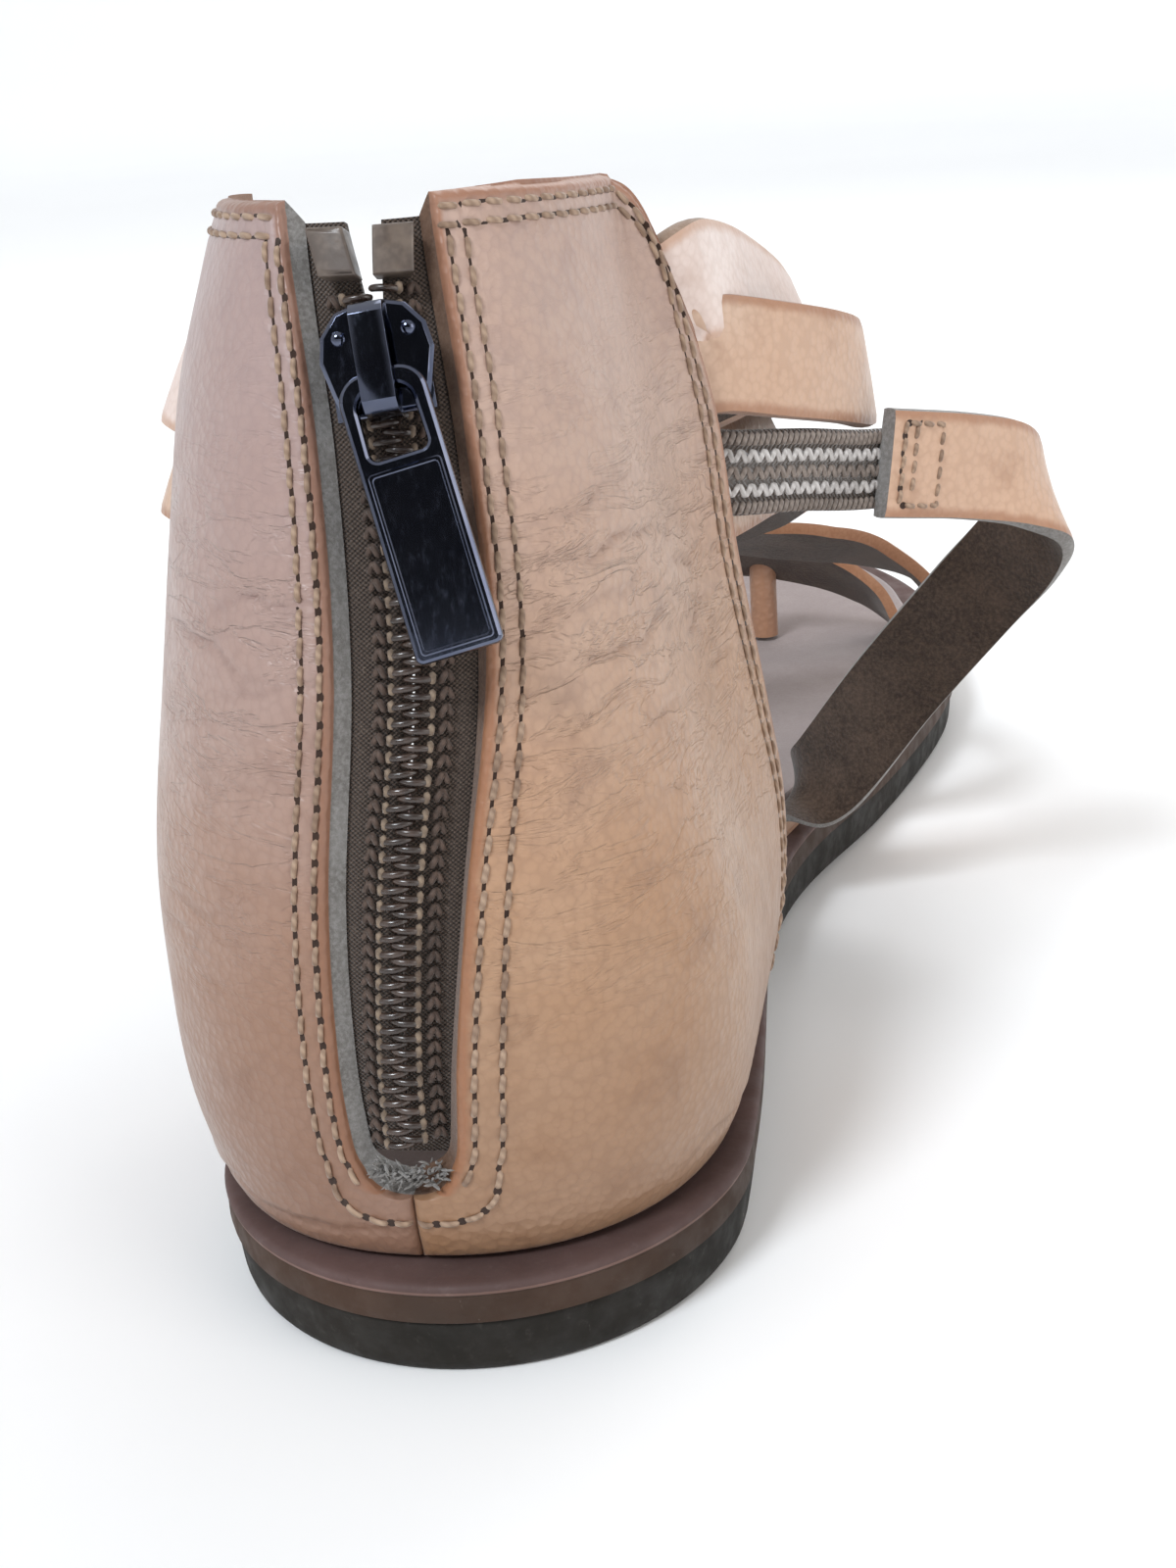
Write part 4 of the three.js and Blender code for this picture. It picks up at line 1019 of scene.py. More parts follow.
INSTEP_FROM_MEDIAL = rows_of(
    (0.275, 0.252, 0.628, 1, 0, 0.1),
    (0.31, 0.335, 0.606, 0.8, 0.6, 0.1),
    (0.305, 0.42, 0.545, 0.45, 0.88, 0.15),
    (0.205, 0.5, 0.448, 0.2, 0.8, 0.55),
    (0.06, 0.563, 0.357, 0, 0.6, 0.8),
    (-0.11, 0.611, 0.282, -0.2, 0.55, 0.8),
    (-0.28, 0.647, 0.187, -0.5, 0.4, 0.75),
    (-0.385, 0.663, 0.09, -0.85, 0.15, 0.4),
)
INSTEP_FROM_LATERAL = rows_of(
    (-0.372, 0.288, 0.445, -1, 0.1, 0.1),
    (-0.352, 0.361, 0.475, -0.9, 0.3, 0.35),
    (-0.227, 0.44, 0.486, -0.5, 0.45, 0.75),
    (-0.057, 0.508, 0.43, -0.1, 0.6, 0.8),
    (0.06, 0.556, 0.376, 0.05, 0.6, 0.8),
    (0.22, 0.602, 0.33, 0.2, 0.6, 0.78),
    (0.352, 0.603, 0.315, 0.42, 0.45, 0.78),
    (0.46, 0.583, 0.297, 0.78, 0.1, 0.6),
    (0.523, 0.559, 0.228, 0.98, 0.05, 0.1),
    (0.5, 0.54, 0.12, 0.92, 0, -0.35),
)
TOE_BAND = rows_of(
    (0.43, 0.764, 0.06, 0.85, 0.2, 0.5),
    (0.37, 0.765, 0.12, 0.55, 0.5, 0.67),
    (0.275, 0.768, 0.166, 0.28, 0.65, 0.72),
    (0.15, 0.77, 0.186, 0.08, 0.65, 0.76),
    (0.0, 0.767, 0.186, -0.1, 0.65, 0.76),
    (-0.18, 0.757, 0.16, -0.34, 0.55, 0.78),
    (-0.32, 0.745, 0.1, -0.7, 0.3, 0.65),
)
# Places along the sole where the straps stand on it.
SIDE_FOOT = 0.437
INSTEP_MEDIAL_FOOT = 0.53
INSTEP_LATERAL_FOOT = 0.659
TOE_MEDIAL_FOOT = 0.763
TOE_LATERAL_FOOT = 0.735
TOE_POST = (0.168, 0.778)
TOE_POST_TOP = 0.186


def band(rows):
    return Strap(rows, STRAP_WIDTH, STRAP_THICKNESS)


def finished(item, slot, *nodes, body="sandal"):
    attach(item, body)
    if nodes:
        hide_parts(*nodes)
    return item


SECOND_LAYER = WALL + 2 * GAP + ELASTIC_THICKNESS + STRAP_THICKNESS / 2
ELASTIC_LAYER = WALL + GAP + ELASTIC_THICKNESS / 2
ankle_upper = band(
    anchor_rows(1, 0.845, INNER_LAYER, 0.09) + ANKLE_UPPER + anchor_rows(-1, 0.765, INNER_LAYER, 0.02)[::-1]
)
ankle_lower = band(
    anchor_rows(1, 0.782, INNER_LAYER) + ANKLE_LOWER + anchor_rows(-1, 0.655, INNER_LAYER)[::-1]
)
instep_medial = band(
    anchor_rows(1, 0.628, SECOND_LAYER) + INSTEP_FROM_MEDIAL + foot_rows(-1, INSTEP_LATERAL_FOOT)
)
instep_lateral = band(
    anchor_rows(-1, 0.435, INNER_LAYER) + INSTEP_FROM_LATERAL + foot_rows(1, INSTEP_MEDIAL_FOOT)
)
side_strap = band(SIDE_STRAP + foot_rows(1, SIDE_FOOT))
toe_band = band(foot_rows(1, TOE_MEDIAL_FOOT)[::-1] + TOE_BAND + foot_rows(-1, TOE_LATERAL_FOOT))
elastic = Strap(anchor_rows(1, 0.657, ELASTIC_LAYER) + SIDE_ELASTIC, ELASTIC_WIDTH, ELASTIC_THICKNESS)


def elastic_look():
    look = Look("elastic_rib", Sheen_Weight=0.5, Sheen_Roughness=0.3, Specular_IOR_Level=0.6)
    across, run = look.value("across"), look.value("run")
    zigzag = look.math("PINGPONG", run, 0.42)
    skew = look.math("ADD", run, look.times(look.math("PINGPONG", across, 0.76), 0.9))
    yarn = look.wave(skew, 0.62)
    ribs = look.math("ABSOLUTE", look.wave(across, 3.04))
    silver = look.span(look.math("ABSOLUTE", look.math("ADD", across, -0.35)), 1.2, 2.1, 1.0, 0.0)
    color = look.mix(silver, rgb(70, 60, 54), rgb(96, 90, 86))
    shade = look.span(ribs, 0.05, 0.45, 0.75, 0.0)
    color = look.mix(shade, color, rgb(74, 60, 50))
    dark = look.span(yarn, -0.9, 0.1, 0.5, 0.0)
    color = look.mix(dark, color, rgb(92, 78, 68))
    normal = look.bump(yarn, 0.1, 0.9)
    normal = look.bump(zigzag, 0.1, 0.4, normal)
    normal = look.bump(look.noise(3000, 3, 0.6), 0.03, 0.5, normal)
    return look.finish(color, look.span(silver, 0, 1, 0.62, 0.36), normal)


ELASTIC = elastic_look()


def make_straps():
    pale = [PINK_STRAP, STRAP_EDGE, INNER_SUEDE]
    tan = [TAN_STRAP, BURNISHED, INNER_SUEDE]
    cut = [TAN_STRAP, CUT_SUEDE, INNER_SUEDE]
    for name, strap, looks, node in (
        ("ankle_strap_upper", ankle_upper, pale, "ankle_straps"),
        ("ankle_strap_lower", ankle_lower, tan, "ankle_straps"),
        ("instep_strap_medial", instep_medial, tan, "instep_straps"),
        ("instep_strap_lateral", instep_lateral, tan, "instep_straps"),
        ("side_strap_leather", side_strap, cut, "side_strap"),
        ("toe_strap_leather", toe_band, tan, "toe_strap"),
    ):
        finished(strap_piece(name, strap, looks), "strap_leather", node)
    finished(strap_piece("elastic_gore", elastic, [ELASTIC] * 3, 5, 0.05), "elastic", "side_elastic")


RIBS = (-2, -1, 0, 1, 2)
RIB_PITCH = 1.76
YARN_PITCH = 0.86
YARN_REACH = 0.74  # half the length of a yarn across its rib
YARN_RADIUS = 0.36
TAUPE_YARN = thread("yarn_taupe", rgb(140, 128, 120), rgb(84, 72, 64))
SILVER_YARN = thread("yarn_silver", rgb(206, 202, 200), rgb(136, 130, 126))


def elastic_yarns():
    """Woven yarns on the elastic: slanted taupe ones, and silver zigzags beside the middle rib."""
    taupe, silver = Gathered(), Gathered()
    steps = np.linspace(-1, 1, 6)
    arch = ELASTIC_THICKNESS / 2 + 0.06 + 0.26 * (1 - steps**4)
    for rib in RIBS:
        outer = abs(rib) == 2
        lean = 0.3 if outer else 0.42
        yarns = silver if abs(rib) == 1 else taupe
        for k, run in enumerate(np.arange(0.6, elastic.along[-1] - 0.5, YARN_PITCH)):
            slant = lean if outer or (k + rib) % 2 else -lean
            spots, face = elastic.at(run + slant * steps, rib * RIB_PITCH + steps * YARN_REACH, 0.0)
            yarns.tube(spots + face * arch[:, None], YARN_RADIUS, face, 7, 0.7)
    finished(taupe.make("elastic_yarns_taupe", TAUPE_YARN), "elastic")
    finished(silver.make("elastic_yarns_silver", SILVER_YARN), "elastic")


def post_piece():
    across, along = TOE_POST
    foot = SOLE_TOP + 2 * GAP + FOOTBED_THICKNESS + sole_lift(along)
    post = Gathered()
    path = points(across * BALL_WIDTH, along_to_y(along), np.linspace(foot, up_to_z(TOE_POST_TOP), 16))
    post.tube(path, TOE_POST_RADIUS, np.array([0.0, 1.0, 0.0]), 28, 1.0, False)
    return finished(post.make("toe_post", TAN_STRAP), "strap_leather", "toe_strap")


BOX_START, BOX_END = 1.6, 7.2  # along the strap
BOX_MARGIN = 1.5
BOX_SECOND_ROW = 1.7


def sew_box():
    """The box of stitches that holds the elastic in the side strap's end."""
    stitches, hole_shades = Gathered(), Gathered()
    low, high = -STRAP_WIDTH / 2 + BOX_MARGIN, STRAP_WIDTH / 2 - BOX_MARGIN
    second = BOX_START + BOX_SECOND_ROW
    loops = [
        [(BOX_START, low), (BOX_START, high), (BOX_END, high), (BOX_END, low), (BOX_START, low)],
        [(second, high), (second, low)],
    ]
    steps = np.linspace(0, 1, 30)[:, None]
    for corners in loops:
        corners = np.array(corners)
        path = np.concatenate([a + (b - a) * steps for a, b in zip(corners[:-1], corners[1:])])
        path = path[np.concatenate([[True], np.linalg.norm(np.diff(path, axis=0), axis=1) > 1e-6])]
        surface, face = side_strap.at(path[:, 0], path[:, 1], STRAP_THICKNESS / 2 + 0.14)
        sew(stitches, hole_shades, surface, face, 1.9, 0.27)
    finished(stitches.make("side_strap_stitches", THREAD), "strap_leather")
    finished(hole_shades.make("side_strap_stitch_hole_shades", HOLE_SHADE), "strap_leather")


# Sole


SOLE_STATIONS = 150


def sole_ring(inset, z):
    """One closed ring round the sole, moved in from its outline and raised by the sole's lift."""
    share = (1 - np.cos(np.pi * (np.arange(SOLE_STATIONS) + 0.35) / (SOLE_STATIONS - 0.3))) / 2
    medial = points(sole_edge(1, share), along_to_y(share), 0)
    lateral = points(sole_edge(-1, share), along_to_y(share), 0)[::-1]
    ring = np.concatenate([medial, lateral])
    run = np.roll(ring, -1, axis=0) - np.roll(ring, 1, axis=0)
    normal = unit(np.stack([run[:, 1], -run[:, 0], np.zeros(len(run))], -1))
    ring = ring - normal * inset
    ring[:, 2] = z + sole_lift(ring[:, 1] / SOLE_LENGTH + ORIGIN_ALONG)
    return ring


def sole_piece(name, profile, looks, kinds, cap_rows=9, crown=None):
    """A layer of the sole: a profile of insets and heights swept round its outline, and closed."""
    rings = np.array([sole_ring(inset, z) for inset, z in profile])
    count = SOLE_STATIONS
    turn = rings.shape[1]
    faces = grid_faces(len(rings), turn, wrap=True).tolist()
    slots = np.repeat(kinds, turn).tolist()
    vertices = [rings.reshape(-1, 3)]
    start = len(rings) * turn
    for ring_index, upward in ((0, False), (len(rings) - 1, True)):
        ring = rings[ring_index]
        medial = np.arange(count) + ring_index * turn
        lateral = np.arange(turn - 1, count - 1, -1) + ring_index * turn
        share = np.linspace(0, 1, cap_rows + 2)[1:-1]
        start_row, end_row = ring[:count, None], ring[::-1][:count, None]
        across = start_row * (1 - share)[:, None] + end_row * share[:, None]
        if crown is not None and upward:
            across = crown(across, share)
        vertices.append(across.reshape(-1, 3))
        inner = start + np.arange(count * cap_rows).reshape(count, cap_rows)
        grid = np.concatenate([medial[:, None], inner, lateral[:, None]], axis=1)
        quads = np.stack([grid[:-1, :-1], grid[:-1, 1:], grid[1:, 1:], grid[1:, :-1]], -1).reshape(-1, 4)
        quads = quads[:, ::-1] if upward else quads
        faces += quads.tolist()
        slots += [kinds[-1] if upward else kinds[0]] * len(quads)
        start += count * cap_rows
    return make_mesh(name, np.concatenate(vertices), faces, looks, slots, None, 40)


OUTSOLE_RUBBER = rubber("outsole_rubber", rgb(32, 27, 21), rgb(23, 20, 15), rgb(150, 146, 140), 0.95, 0.1)
MIDSOLE_SIDE = rubber("midsole_side", rgb(70, 50, 38), rgb(54, 38, 28), rgb(158, 140, 132), 0.6, 0.05)
MIDSOLE_TOP = rubber("midsole_top", rgb(94, 73, 70), rgb(76, 58, 55), rgb(164, 148, 146), 0.35, 0.08)
MIDSOLE_LIP = rubber("midsole_lip", rgb(128, 100, 92), rgb(102, 78, 70), rgb(196, 176, 168), 0.4, 0.1)
FOOTBED_LOOK = suede("footbed_suede", rgb(134, 120, 118), rgb(158, 145, 142), 0.35, 0.07)
FOOTBED_DISH = 0.5
FOOTBED_SIDE = suede("footbed_edge", rgb(96, 80, 74), rgb(122, 106, 98), 0.4, 0.06)


def make_sole():
    """The three layers, each by a profile of insets from the sole's outline and heights."""
    top = OUTSOLE_THICKNESS
    worn_edge = [(3.2, 0), (1.9, 0), (1.45, 0.18), (1.15, 0.6), (0.95, 1.3), (0.8, 2.6), (0.7, 4)]
    outsole = worn_edge + [(0.62, top - 0.25), (0.8, top), (2, top)]
    item = sole_piece("outsole_shell", outsole, [OUTSOLE_RUBBER], [0] * (len(outsole) - 1))
    finished(item, "outsole_rubber", "outsole")
    low, high = OUTSOLE_THICKNESS + GAP * 0.3, SOLE_TOP
    band_profile = [
        (2, low),
        (0.5, low),
        (0.22, low + 0.2),
        (0.12, low + 0.8),
        (0.16, high - 1.5),
        (0.24, high - 1.15),
        (0.12, high - 0.95),
        (0.02, high - 0.62),
        (0.1, high - 0.3),
        (0.34, high - 0.1),
        (0.7, high),
        (1.3, high + 0.02),
        (2.2, high),
    ]
    kinds = [0, 0, 0, 0, 0, 0, 2, 1, 1, 1, 1, 1]
    item = sole_piece("midsole_shell", band_profile, [MIDSOLE_SIDE, MIDSOLE_TOP, MIDSOLE_LIP], kinds)
    finished(item, "midsole_band", "midsole")
    inset, foot, bed = FOOTBED_INSET, UPPER_FOOT, UPPER_FOOT + FOOTBED_THICKNESS
    rounding = [(inset + 0.15, bed - 0.3), (inset + 0.5, bed - 0.06), (inset + 1.2, bed)]
    bed_profile = [(inset + 1, foot), (inset, foot), (inset, bed - 0.7), *rounding]

    def dished(across, share):
        across = across.copy()
        across[..., 2] -= FOOTBED_DISH * np.sin(np.pi * share) ** 2
        return across

    looks = [FOOTBED_SIDE, FOOTBED_LOOK]
    item = sole_piece("footbed_cover", bed_profile, looks, [0, 0, 0, 1, 1], cap_rows=13, crown=dished)
    finished(item, "footbed_cloth", "footbed")


# Zip


def parting(z):
    """How far each coil stands from the meeting line, above the slider."""
    run = np.clip((z_to_up(z) - SLIDER_AT) / (1 - SLIDER_AT), 0, 1)
    return COIL_PARTING * run


def tape_look():
    look = Look("zip_tape_weave", Sheen_Weight=0.3, Sheen_Roughness=0.5, Specular_IOR_Level=0.3)
    across, run = look.value("across"), look.value("run")
    warp = look.wave(across, 0.52)
    weft = look.wave(run, 0.4)
    weave = look.times(warp, weft)
    fuzz = look.noise(2600, 3, 0.7)
    color = look.mix(look.span(weave, -0.5, 0.7), rgb(44, 34, 28), rgb(96, 80, 70))
    color = look.mix(look.span(fuzz, 0.45, 0.8, 0, 0.5), color, rgb(122, 106, 94))
    normal = look.bump(weave, 0.12, 0.9)
    normal = look.bump(fuzz, 0.05, 0.6, normal)
    return look.finish(color, 0.86, normal)


def coil_look():
    look = Look("zip_coil_nylon", Specular_IOR_Level=0.6, Coat_Weight=0.4, Coat_Roughness=0.12)
    color = look.mix(look.patches(500, 3, 0.6, 0.4, 0.7), rgb(46, 34, 28), rgb(74, 58, 50))
    rough = look.patches(900, 2, 0.5, 0.3, 0.7, 0.22, 0.38)
    return look.finish(color, rough, look.bump(look.noise(1800, 2, 0.5), 0.02, 0.5))


TAPE = tape_look()
COIL = coil_look()
KNOT = thread("zip_knots", rgb(138, 120, 102), rgb(66, 50, 40))
CHAIN = thread("zip_chain", rgb(88, 70, 60), rgb(48, 36, 30))
COIL_PITCH = 1.42
SLIDER_Z = up_to_z(SLIDER_AT)


def zip_normal(offset, z):
    return normal_of(back_point, offset + slot_centre(z), z, 0.2, 0.5)


def make_tape(name, side, node):
    rows, columns = 170, 16
    z = up_to_z(np.linspace(ZIP_BOTTOM - 0.03, TAPE_TOP, rows))[:, None]
    share = np.linspace(0, 1, columns)[None, :]
    inside = GAP / 2 + parting(z)
    across = inside + (slot_half(z) + TAPE_SEAM - inside) * share
    across, z = np.broadcast_arrays(across, z)
    front = zip_point(side * across, z, np.full_like(z, TAPE_DEPTH))
    back = zip_point(side * across, z, np.full_like(z, TAPE_DEPTH + TAPE_THICKNESS))
    vertices, faces, _ = walled(front, back, side < 0)
    attributes = {"across": np.tile(across.ravel(), 2), "run": np.tile(z.ravel(), 2)}
    return finished(make_mesh(name, vertices, faces, [TAPE], None, attributes), "zip_tape", node)


COIL_REACH = (-0.75, 1.95)  # of a turn, from the coils' meeting line outwards
COIL_RISE = 0.85
COIL_RADIUS = 0.33
# Stitches beside each turn: mesh, distance out, length, lean, radius and depth under the leather.
COIL_STITCHES = (
    ("knots", 1.75, 1.0, 0.06, 0.32, 0.72),
    ("chain", 2.75, 1.15, 0.32, 0.3, 1.5),
    ("chain", 3.35, 1.1, -0.3, 0.28, 1.75),
)


def make_coils():
    sewn = {"knots": Gathered(), "chain": Gathered()}
    turn = np.linspace(0, np.pi, 11)
    reach = COIL_REACH[0] + (COIL_REACH[1] - COIL_REACH[0]) / 2 * (1 - np.cos(turn))
    steps = np.linspace(-0.5, 0.5, 6)
    for side, name, node in ((-1, "coil_lateral", "zip_coil_lateral"), (1, "coil_medial", "zip_coil_medial")):
        coil = Gathered()
        first = up_to_z(ZIP_BOTTOM) - 1.2 + (0 if side < 0 else COIL_PITCH / 2)
        for start in np.arange(first, up_to_z(COIL_TOP), COIL_PITCH):
            away = float(parting(start))
            offset, z = side * (away + reach), start + 0.12 * np.cos(turn)
            path = zip_point(offset, z, 1.35 - COIL_RISE * np.sin(turn))
            coil.tube(path, COIL_RADIUS, zip_normal(offset, z), 8, 1.0)
            for mesh, where, length, lean, radius, depth in COIL_STITCHES:
                offset, z = side * (away + where + lean * steps * 2), start + steps * length
                arch = depth + 0.35 * (2 * steps) ** 4
                sewn[mesh].tube(zip_point(offset, z, arch), radius, zip_normal(offset, z), 7, 0.85)
        finished(coil.make(name, COIL), "zip_coil", node)
    finished(sewn["knots"].make("zip_knot_rows", KNOT), "zip_tape")
    finished(sewn["chain"].make("zip_chain_rows", CHAIN), "zip_tape")


def metal_look():
    look = Look("dark_gunmetal", Metallic=1.0, Specular_IOR_Level=0.5, Coat_Weight=0.2, Coat_Roughness=0.03)
    color = look.mix(look.patches(140, 3, 0.5, 0.35, 0.7), rgb(86, 92, 112), rgb(104, 110, 128))
    scratches = look.noise(1500, 4, 0.7, look.stretched(1, 1, 0.25))
    rough = look.span(scratches, 0.45, 0.8, 0.09, 0.2)
    return look.finish(color, rough, look.bump(look.noise(90, 2, 0.5), 0.12, 0.25))


def stop_look():
    look = Look("zip_stop_plastic", Specular_IOR_Level=0.5, Coat_Weight=0.2, Coat_Roughness=0.2)
    color = look.mix(look.patches(400, 3, 0.6, 0.4, 0.7), rgb(84, 73, 66), rgb(112, 99, 89))
    rough = look.patches(700, 2, 0.5, 0.3, 0.7, 0.32, 0.5)
    return look.finish(color, rough, look.bump(look.noise(900, 3, 0.6), 0.05, 0.5))


GUNMETAL = metal_look()
STOP = stop_look()


def slider_frame():
    """The slider's place on the leather's surface, and its directions sideways, up and out."""
    z, zero = np.array([SLIDER_Z]), np.array([0.0])
    up = unit(zip_point(zero, z + 4, zero)[0] - zip_point(zero, z - 4, zero)[0])
    side = unit(np.cross(up, zip_normal(zero, z)[0]))
    return zip_point(zero, z, zero)[0], side, up, np.cross(side, up)


def dress_frame_nodes():
    """Finishes for the hard pieces that are shown as they come, with their corners eased."""
    for node, look, slot, width in (
        ("zip_stop_lateral", STOP, "zip_stop", 0.5),
        ("zip_stop_medial", STOP, "zip_stop", 0.5),
        ("zip_slider", GUNMETAL, "gunmetal", 0.22),
    ):
        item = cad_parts[node]
        item.data.materials.clear()
        item.data.materials.append(look)
        weld = item.modifiers.new("weld", "WELD")
        weld.merge_threshold = 0.00001
        bevel = item.modifiers.new("eased", "BEVEL")
        bevel.width = width / 1000
        bevel.segments = 3
        bevel.limit_method = "ANGLE"
        bevel.angle_limit = math.radians(28)
        bevel.harden_normals = False
        item.data.shade_smooth()


def rounded_outline(half_low, half_high, low, high, radius_low, radius_high):
    """Outline of a tapered tab with rounded corners, counter-clockwise from its lower right."""
    found = []
    for cx, cy, radius, start in (
        (half_low - radius_low, low + radius_low, radius_low, -90),
        (half_high - radius_high, high - radius_high, radius_high, 0),
        (-half_high + radius_high, high - radius_high, radius_high, 90),
        (-half_low + radius_low, low + radius_low, radius_low, 180),
    ):
        for turn in np.linspace(0, 90, 8):
            angle = math.radians(start + turn)
            found.append((cx + radius * math.cos(angle), cy + radius * math.sin(angle)))
    return np.array(found)


PLATE_FRONT = -COIL_DEPTH + 1.5 * GAP + PLATE_THICKNESS
PULL_TOP = 0.75  # over the bar
WINDOW_LOW = -6.4
WINDOW_HALF = 2.45
BORDER = 0.62  # from the pull's edge to its raised line
FIELD = 1.0
BUMP_OUT = 2.9
BUMP_UP = 2.0
BUMP_RADIUS = 0.62
BUMP_HEIGHT = 0.34


def make_pull():
    """The pull: a window frame over the bar and a long tab with a bevelled border."""
    origin, side, up, out = slider_frame()
    bar_out = PLATE_FRONT + 1.5 * GAP + PULL_THICKNESS / 2
    base = origin + up * (-0.21 * SLIDER_HEIGHT) + out * bar_out
    tilt = math.radians(PULL_TILT_DEG)
    across = side * math.cos(tilt) + up * math.sin(tilt)
    rise = -side * math.sin(tilt) + up * math.cos(tilt)
    half, low, thick = PULL_WIDTH / 2, PULL_TOP - PULL_LENGTH, PULL_THICKNESS / 2
    outline = rounded_outline(half - 0.02, half - 0.05, low, PULL_TOP, 0.7, 2.3)
    hole = rounded_outline(WINDOW_HALF, WINDOW_HALF - 0.1, WINDOW_LOW, -0.75, 0.7, 1.5)
    rounding = [(0.3, 0), (0.08, 0.1), (0.0, 0.32)]
    profile = [(inset, -thick + step) for inset, step in rounding]
    profile += [(0.0, thick - 0.32), (0.1, thick - 0.1), (0.34, thick)]

    def ring(shape, inset, z):
        run = np.roll(shape, -1, axis=0) - np.roll(shape, 1, axis=0)
        moved = shape - unit(np.stack([run[:, 1], -run[:, 0]], -1)) * inset
        return base + moved[:, :1] * across + moved[:, 1:] * rise + z * out

    outer_rings = [ring(outline, inset, z) for inset, z in profile]
    hole_rings = [ring(hole, -inset, z) for inset, z in profile]
    border = rounded_outline(half - BORDER, half - BORDER, low + BORDER, WINDOW_LOW - 0.9, 0.4, 0.4)
    field = rounded_outline(half - FIELD, half - FIELD, low + FIELD, WINDOW_LOW - 1.3, 0.3, 0.3)
    line = [ring(border, 0, thick + 0.02), ring(border, 0.12, thick + 0.14)]
    line += [ring(field, -0.1, thick + 0.14), ring(field, 0, thick + 0.03)]
    pull = Gathered()
    for rings, flip in (
        (outer_rings, False),
        (hole_rings, True),
        ([outer_rings[-1], hole_rings[-1]], False),
        ([outer_rings[0], hole_rings[0]], True),
        (line, False),
    ):
        pull.add(np.concatenate(rings), grid_faces(len(rings), len(outline), wrap=True, flip=flip))
    return finished(pull.make("pull_tab", GUNMETAL, 35), "gunmetal", "zip_pull", body="pull")


def slider_bumps():
    """Two low domes on the slider's shoulders."""
    origin, side, up, out = slider_frame()
    lat = np.linspace(0.05, np.pi / 2, 7)[:, None, None]
    lon = np.linspace(0, 2 * np.pi, 20, endpoint=False)
    ring = np.cos(lon)[:, None] * side + np.sin(lon)[:, None] * up
    bumps = Gathered()
    for x in (-BUMP_OUT, BUMP_OUT):
        centre = origin + side * x + up * BUMP_UP + out * PLATE_FRONT
        dome = centre + np.sin(lat) * ring[None] * BUMP_RADIUS + np.cos(lat) * out * BUMP_HEIGHT
        first = bumps.count
        bumps.add(dome, grid_faces(len(lat), len(lon), wrap=True, flip=True))
        bumps.faces.append(list(range(first, first + len(lon))))
    return finished(bumps.make("slider_bumps", GUNMETAL), "gunmetal")


FIBRES = 150
FIBRE_LENGTH = 1.1
FIBRE_RISE = 1.4  # of the fibres' foot over the opening's end


def frayed_end():
    """Loose suede fibres at the lower end of the zip's opening."""
    draw = random.Random(7)
    fibres = Gathered()
    steps = np.linspace(0, 1, 6)[:, None]
    for _ in range(FIBRES):
        x = draw.uniform(-3.3, 3.1)
        z = UPPER_FOOT + OPENING_FOOT + FIBRE_RISE + draw.uniform(-0.5, 1.6) + 0.12 * abs(x) ** 1.5
        start = zip_point(np.array([x]), np.array([z]), np.array([draw.uniform(0.3, 1.3)]))[0]
        lean = np.array([draw.uniform(-0.9, 0.9), draw.uniform(-0.8, 0.1), draw.uniform(-0.2, 1.2)])
        curl = np.array([draw.uniform(-0.6, 0.6), draw.uniform(-0.5, 0.2), draw.uniform(-0.5, 0.3)])
        path = start + lean * steps * FIBRE_LENGTH + curl * steps**2
        fibres.tube(path, draw.uniform(0.07, 0.15), np.array([0.2, -0.9, 0.4]), 5)
    return finished(fibres.make("frayed_suede", CUT_SUEDE), "counter_leather")


def make_counter():
    finished(counter_panel("counter_lateral", -1, LATERAL_LEATHER), "counter_leather", "heel_counter")
    finished(counter_panel("counter_medial", 1, MEDIAL_LEATHER), "counter_leather", "heel_counter")
    for sewn in sew_counter():
        finished(sewn, "counter_leather")
    frayed_end()


make_counter()
make_straps()
elastic_yarns()
post_piece()
sew_box()
make_sole()
make_tape("tape_lateral", -1, "zip_tape_lateral")
make_tape("tape_medial", 1, "zip_tape_medial")
make_coils()
dress_frame_nodes()
make_pull()
slider_bumps()


# Stage: floor, lights and camera


FLOOR_REACH = 2.4  # metres from the shoe to where the floor starts to curve up
BACKDROP_ROUND = 0.9
BACKDROP_TOP = 1.1
WORLD_LIGHT = 0.62
DARK_LIGHT = 0.035  # of the dim side of the room that the zip's flat faces mirror
DARK_WAY = (-0.02, -0.92, 0.38)
DARK_SPREAD = (0.78, 0.94)  # how squarely a direction meets DARK_WAY where the room dims, and is dimmest
LIT_SPOT = (0, 0.02, 0.05)
# Name, kind, place, size (an angle for the sun), power and colour.
LIGHTS = (
    ("key", "SUN", (-0.3, -0.55, 0.75), 0.3, 2.0, (0.88, 0.94, 1.0)),
    ("fill", "AREA", (0.7, -0.35, 0.45), 0.5, 1.6, (1.0, 0.95, 0.9)),
    ("rim", "AREA", (0.1, 0.7, 0.7), 0.6, 2.5, (1.0, 1.0, 1.0)),
)


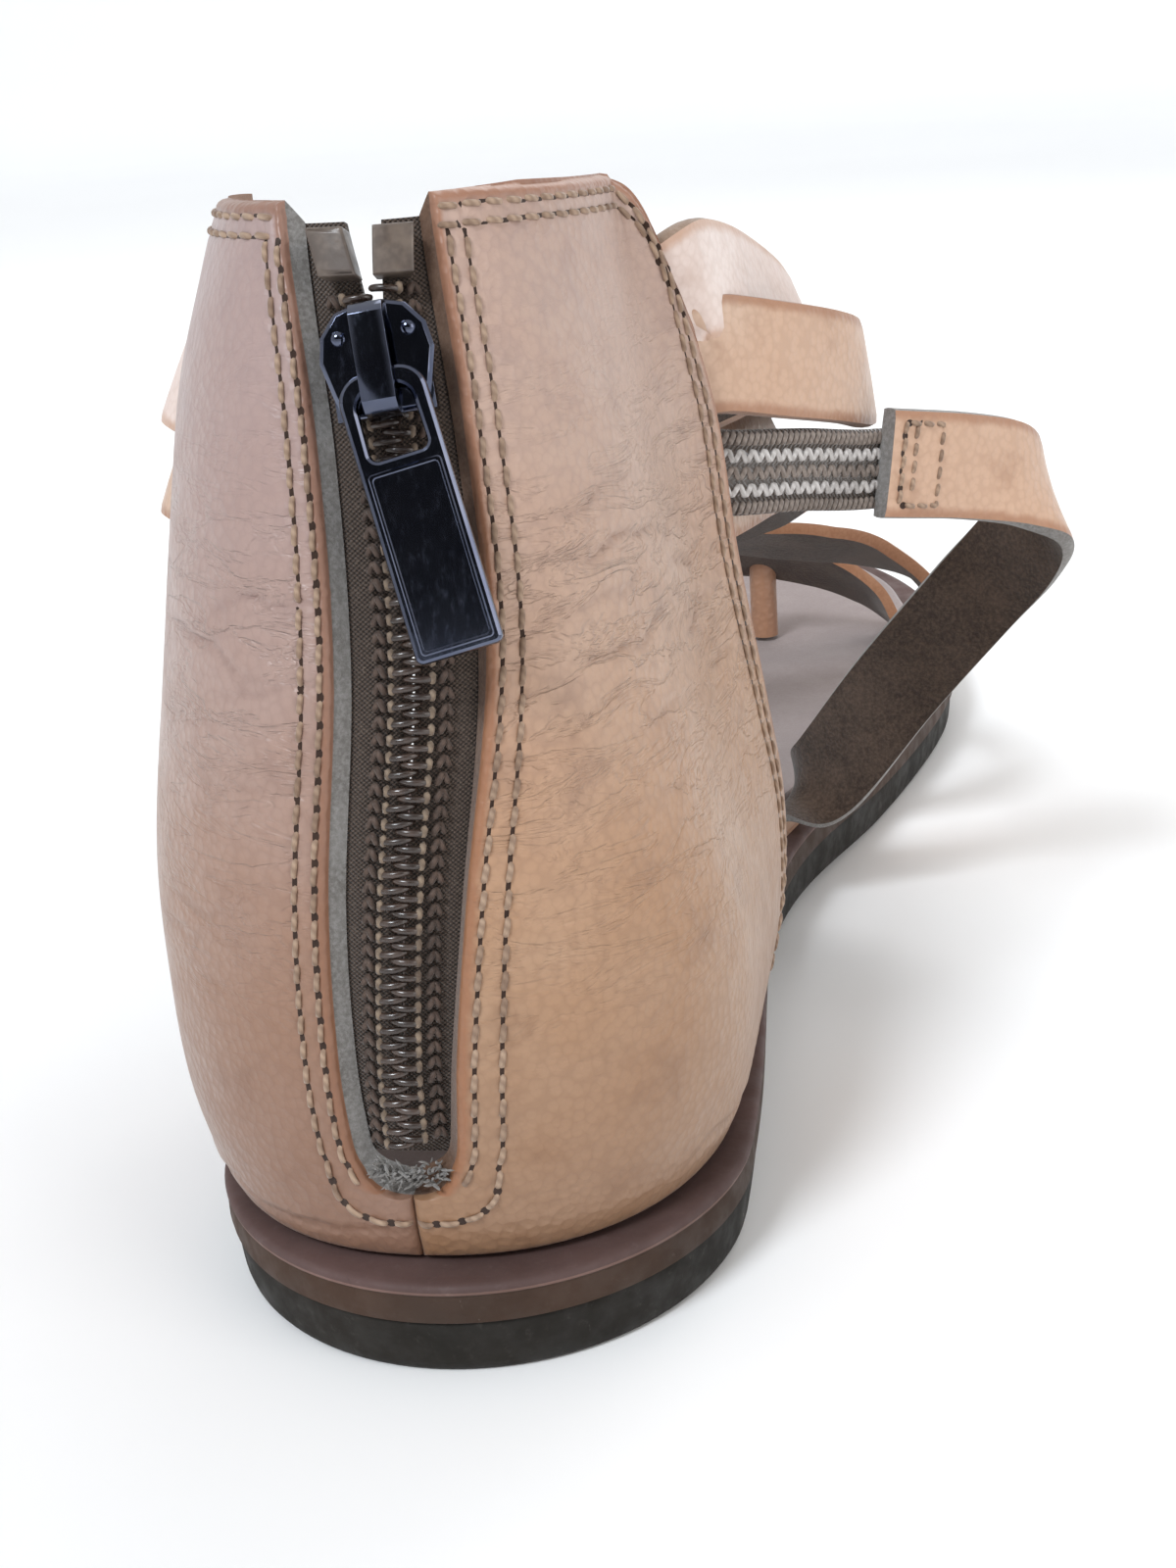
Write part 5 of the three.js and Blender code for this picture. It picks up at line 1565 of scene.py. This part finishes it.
def light_room():
    """A pale room all round, with the one dim side that the zip's flat faces mirror."""
    world = bpy.data.worlds.new("studio")
    bpy.context.scene.world = world
    world.use_nodes = True
    nodes, links = world.node_tree.nodes, world.node_tree.links
    nodes["Background"].inputs["Color"].default_value = (1.0, 0.99, 0.98, 1)
    toward = nodes.new("ShaderNodeVectorMath")
    toward.operation = "DOT_PRODUCT"
    toward.inputs[1].default_value = DARK_WAY
    light = nodes.new("ShaderNodeMapRange")
    light.interpolation_type = "SMOOTHSTEP"
    for socket, value in zip((1, 2, 3, 4), (*DARK_SPREAD, WORLD_LIGHT, DARK_LIGHT)):
        light.inputs[socket].default_value = value
    links.new(nodes.new("ShaderNodeTexCoord").outputs["Generated"], toward.inputs[0])
    links.new(toward.outputs["Value"], light.inputs["Value"])
    links.new(light.outputs["Result"], nodes["Background"].inputs["Strength"])


def make_stage():
    """A pale floor that curves up into a low backdrop all round, with soft studio lights."""
    floor = Look("studio_floor")
    clouds = floor.patches(3, 2, 0.5, 0.3, 0.7)
    floor.finish(floor.mix(clouds, (0.92, 0.92, 0.922, 1), (0.93, 0.93, 0.93, 1)), 0.9)
    turn = np.linspace(0, np.pi / 2, 12)
    reach = [FLOOR_REACH + BACKDROP_ROUND * np.sin(turn), [FLOOR_REACH + BACKDROP_ROUND]]
    height = [BACKDROP_ROUND * (1 - np.cos(turn)), [BACKDROP_TOP]]
    reach, height = np.concatenate(reach), np.concatenate(height)
    lon = np.linspace(0, 2 * np.pi, 96, endpoint=False)
    rings = points(reach[:, None] * np.cos(lon), reach[:, None] * np.sin(lon), height[:, None])
    faces = grid_faces(len(reach), len(lon), wrap=True, flip=True).tolist()
    faces.append(list(range(len(lon))))
    mesh = bpy.data.meshes.new("studio_floor")
    mesh.from_pydata(rings.reshape(-1, 3).tolist(), [], faces)
    mesh.materials.append(floor.material)
    mesh.shade_smooth()
    item = bpy.data.objects.new("studio_floor", mesh)
    bpy.context.scene.collection.objects.link(item)
    light_room()
    for name, kind, spot, size, power, color in LIGHTS:
        data = bpy.data.lights.new(name, kind)
        if kind == "SUN":
            data.angle = size
        else:
            data.size = size
        data.energy = power
        data.color = color
        lamp = bpy.data.objects.new(name, data)
        lamp.location = spot
        lamp.rotation_euler = (Vector(LIT_SPOT) - Vector(spot)).to_track_quat("-Z", "Y").to_euler()
        bpy.context.scene.collection.objects.link(lamp)


CAMERA_SPOT = (0.050, -0.18928, 0.115)
PHOTO_PITCH_DEG = 22.0
FRAME_TURN_DEG = 10.4  # from the photo's own axis to the one shoe, to the left
FRAME_RISE_DEG = 1.6
FOCAL_PIXELS = 2130
LONG_SIDE_PIXELS = 1600
SENSOR_MM = 36.0


def make_camera():
    data = bpy.data.cameras.new("camera")
    data.sensor_width = SENSOR_MM
    data.lens = SENSOR_MM * FOCAL_PIXELS / LONG_SIDE_PIXELS
    data.clip_start = 0.01
    camera = bpy.data.objects.new("camera", data)
    level = Matrix.Rotation(math.radians(90 - PHOTO_PITCH_DEG), 4, "X")
    turn = Matrix.Rotation(math.radians(FRAME_TURN_DEG), 4, "Y")
    rise = Matrix.Rotation(math.radians(FRAME_RISE_DEG), 4, "X")
    camera.matrix_world = Matrix.Translation(CAMERA_SPOT) @ level @ turn @ rise
    bpy.context.scene.collection.objects.link(camera)
    bpy.context.scene.camera = camera


make_stage()
make_camera()
bpy.context.scene.view_settings.view_transform = "Standard"
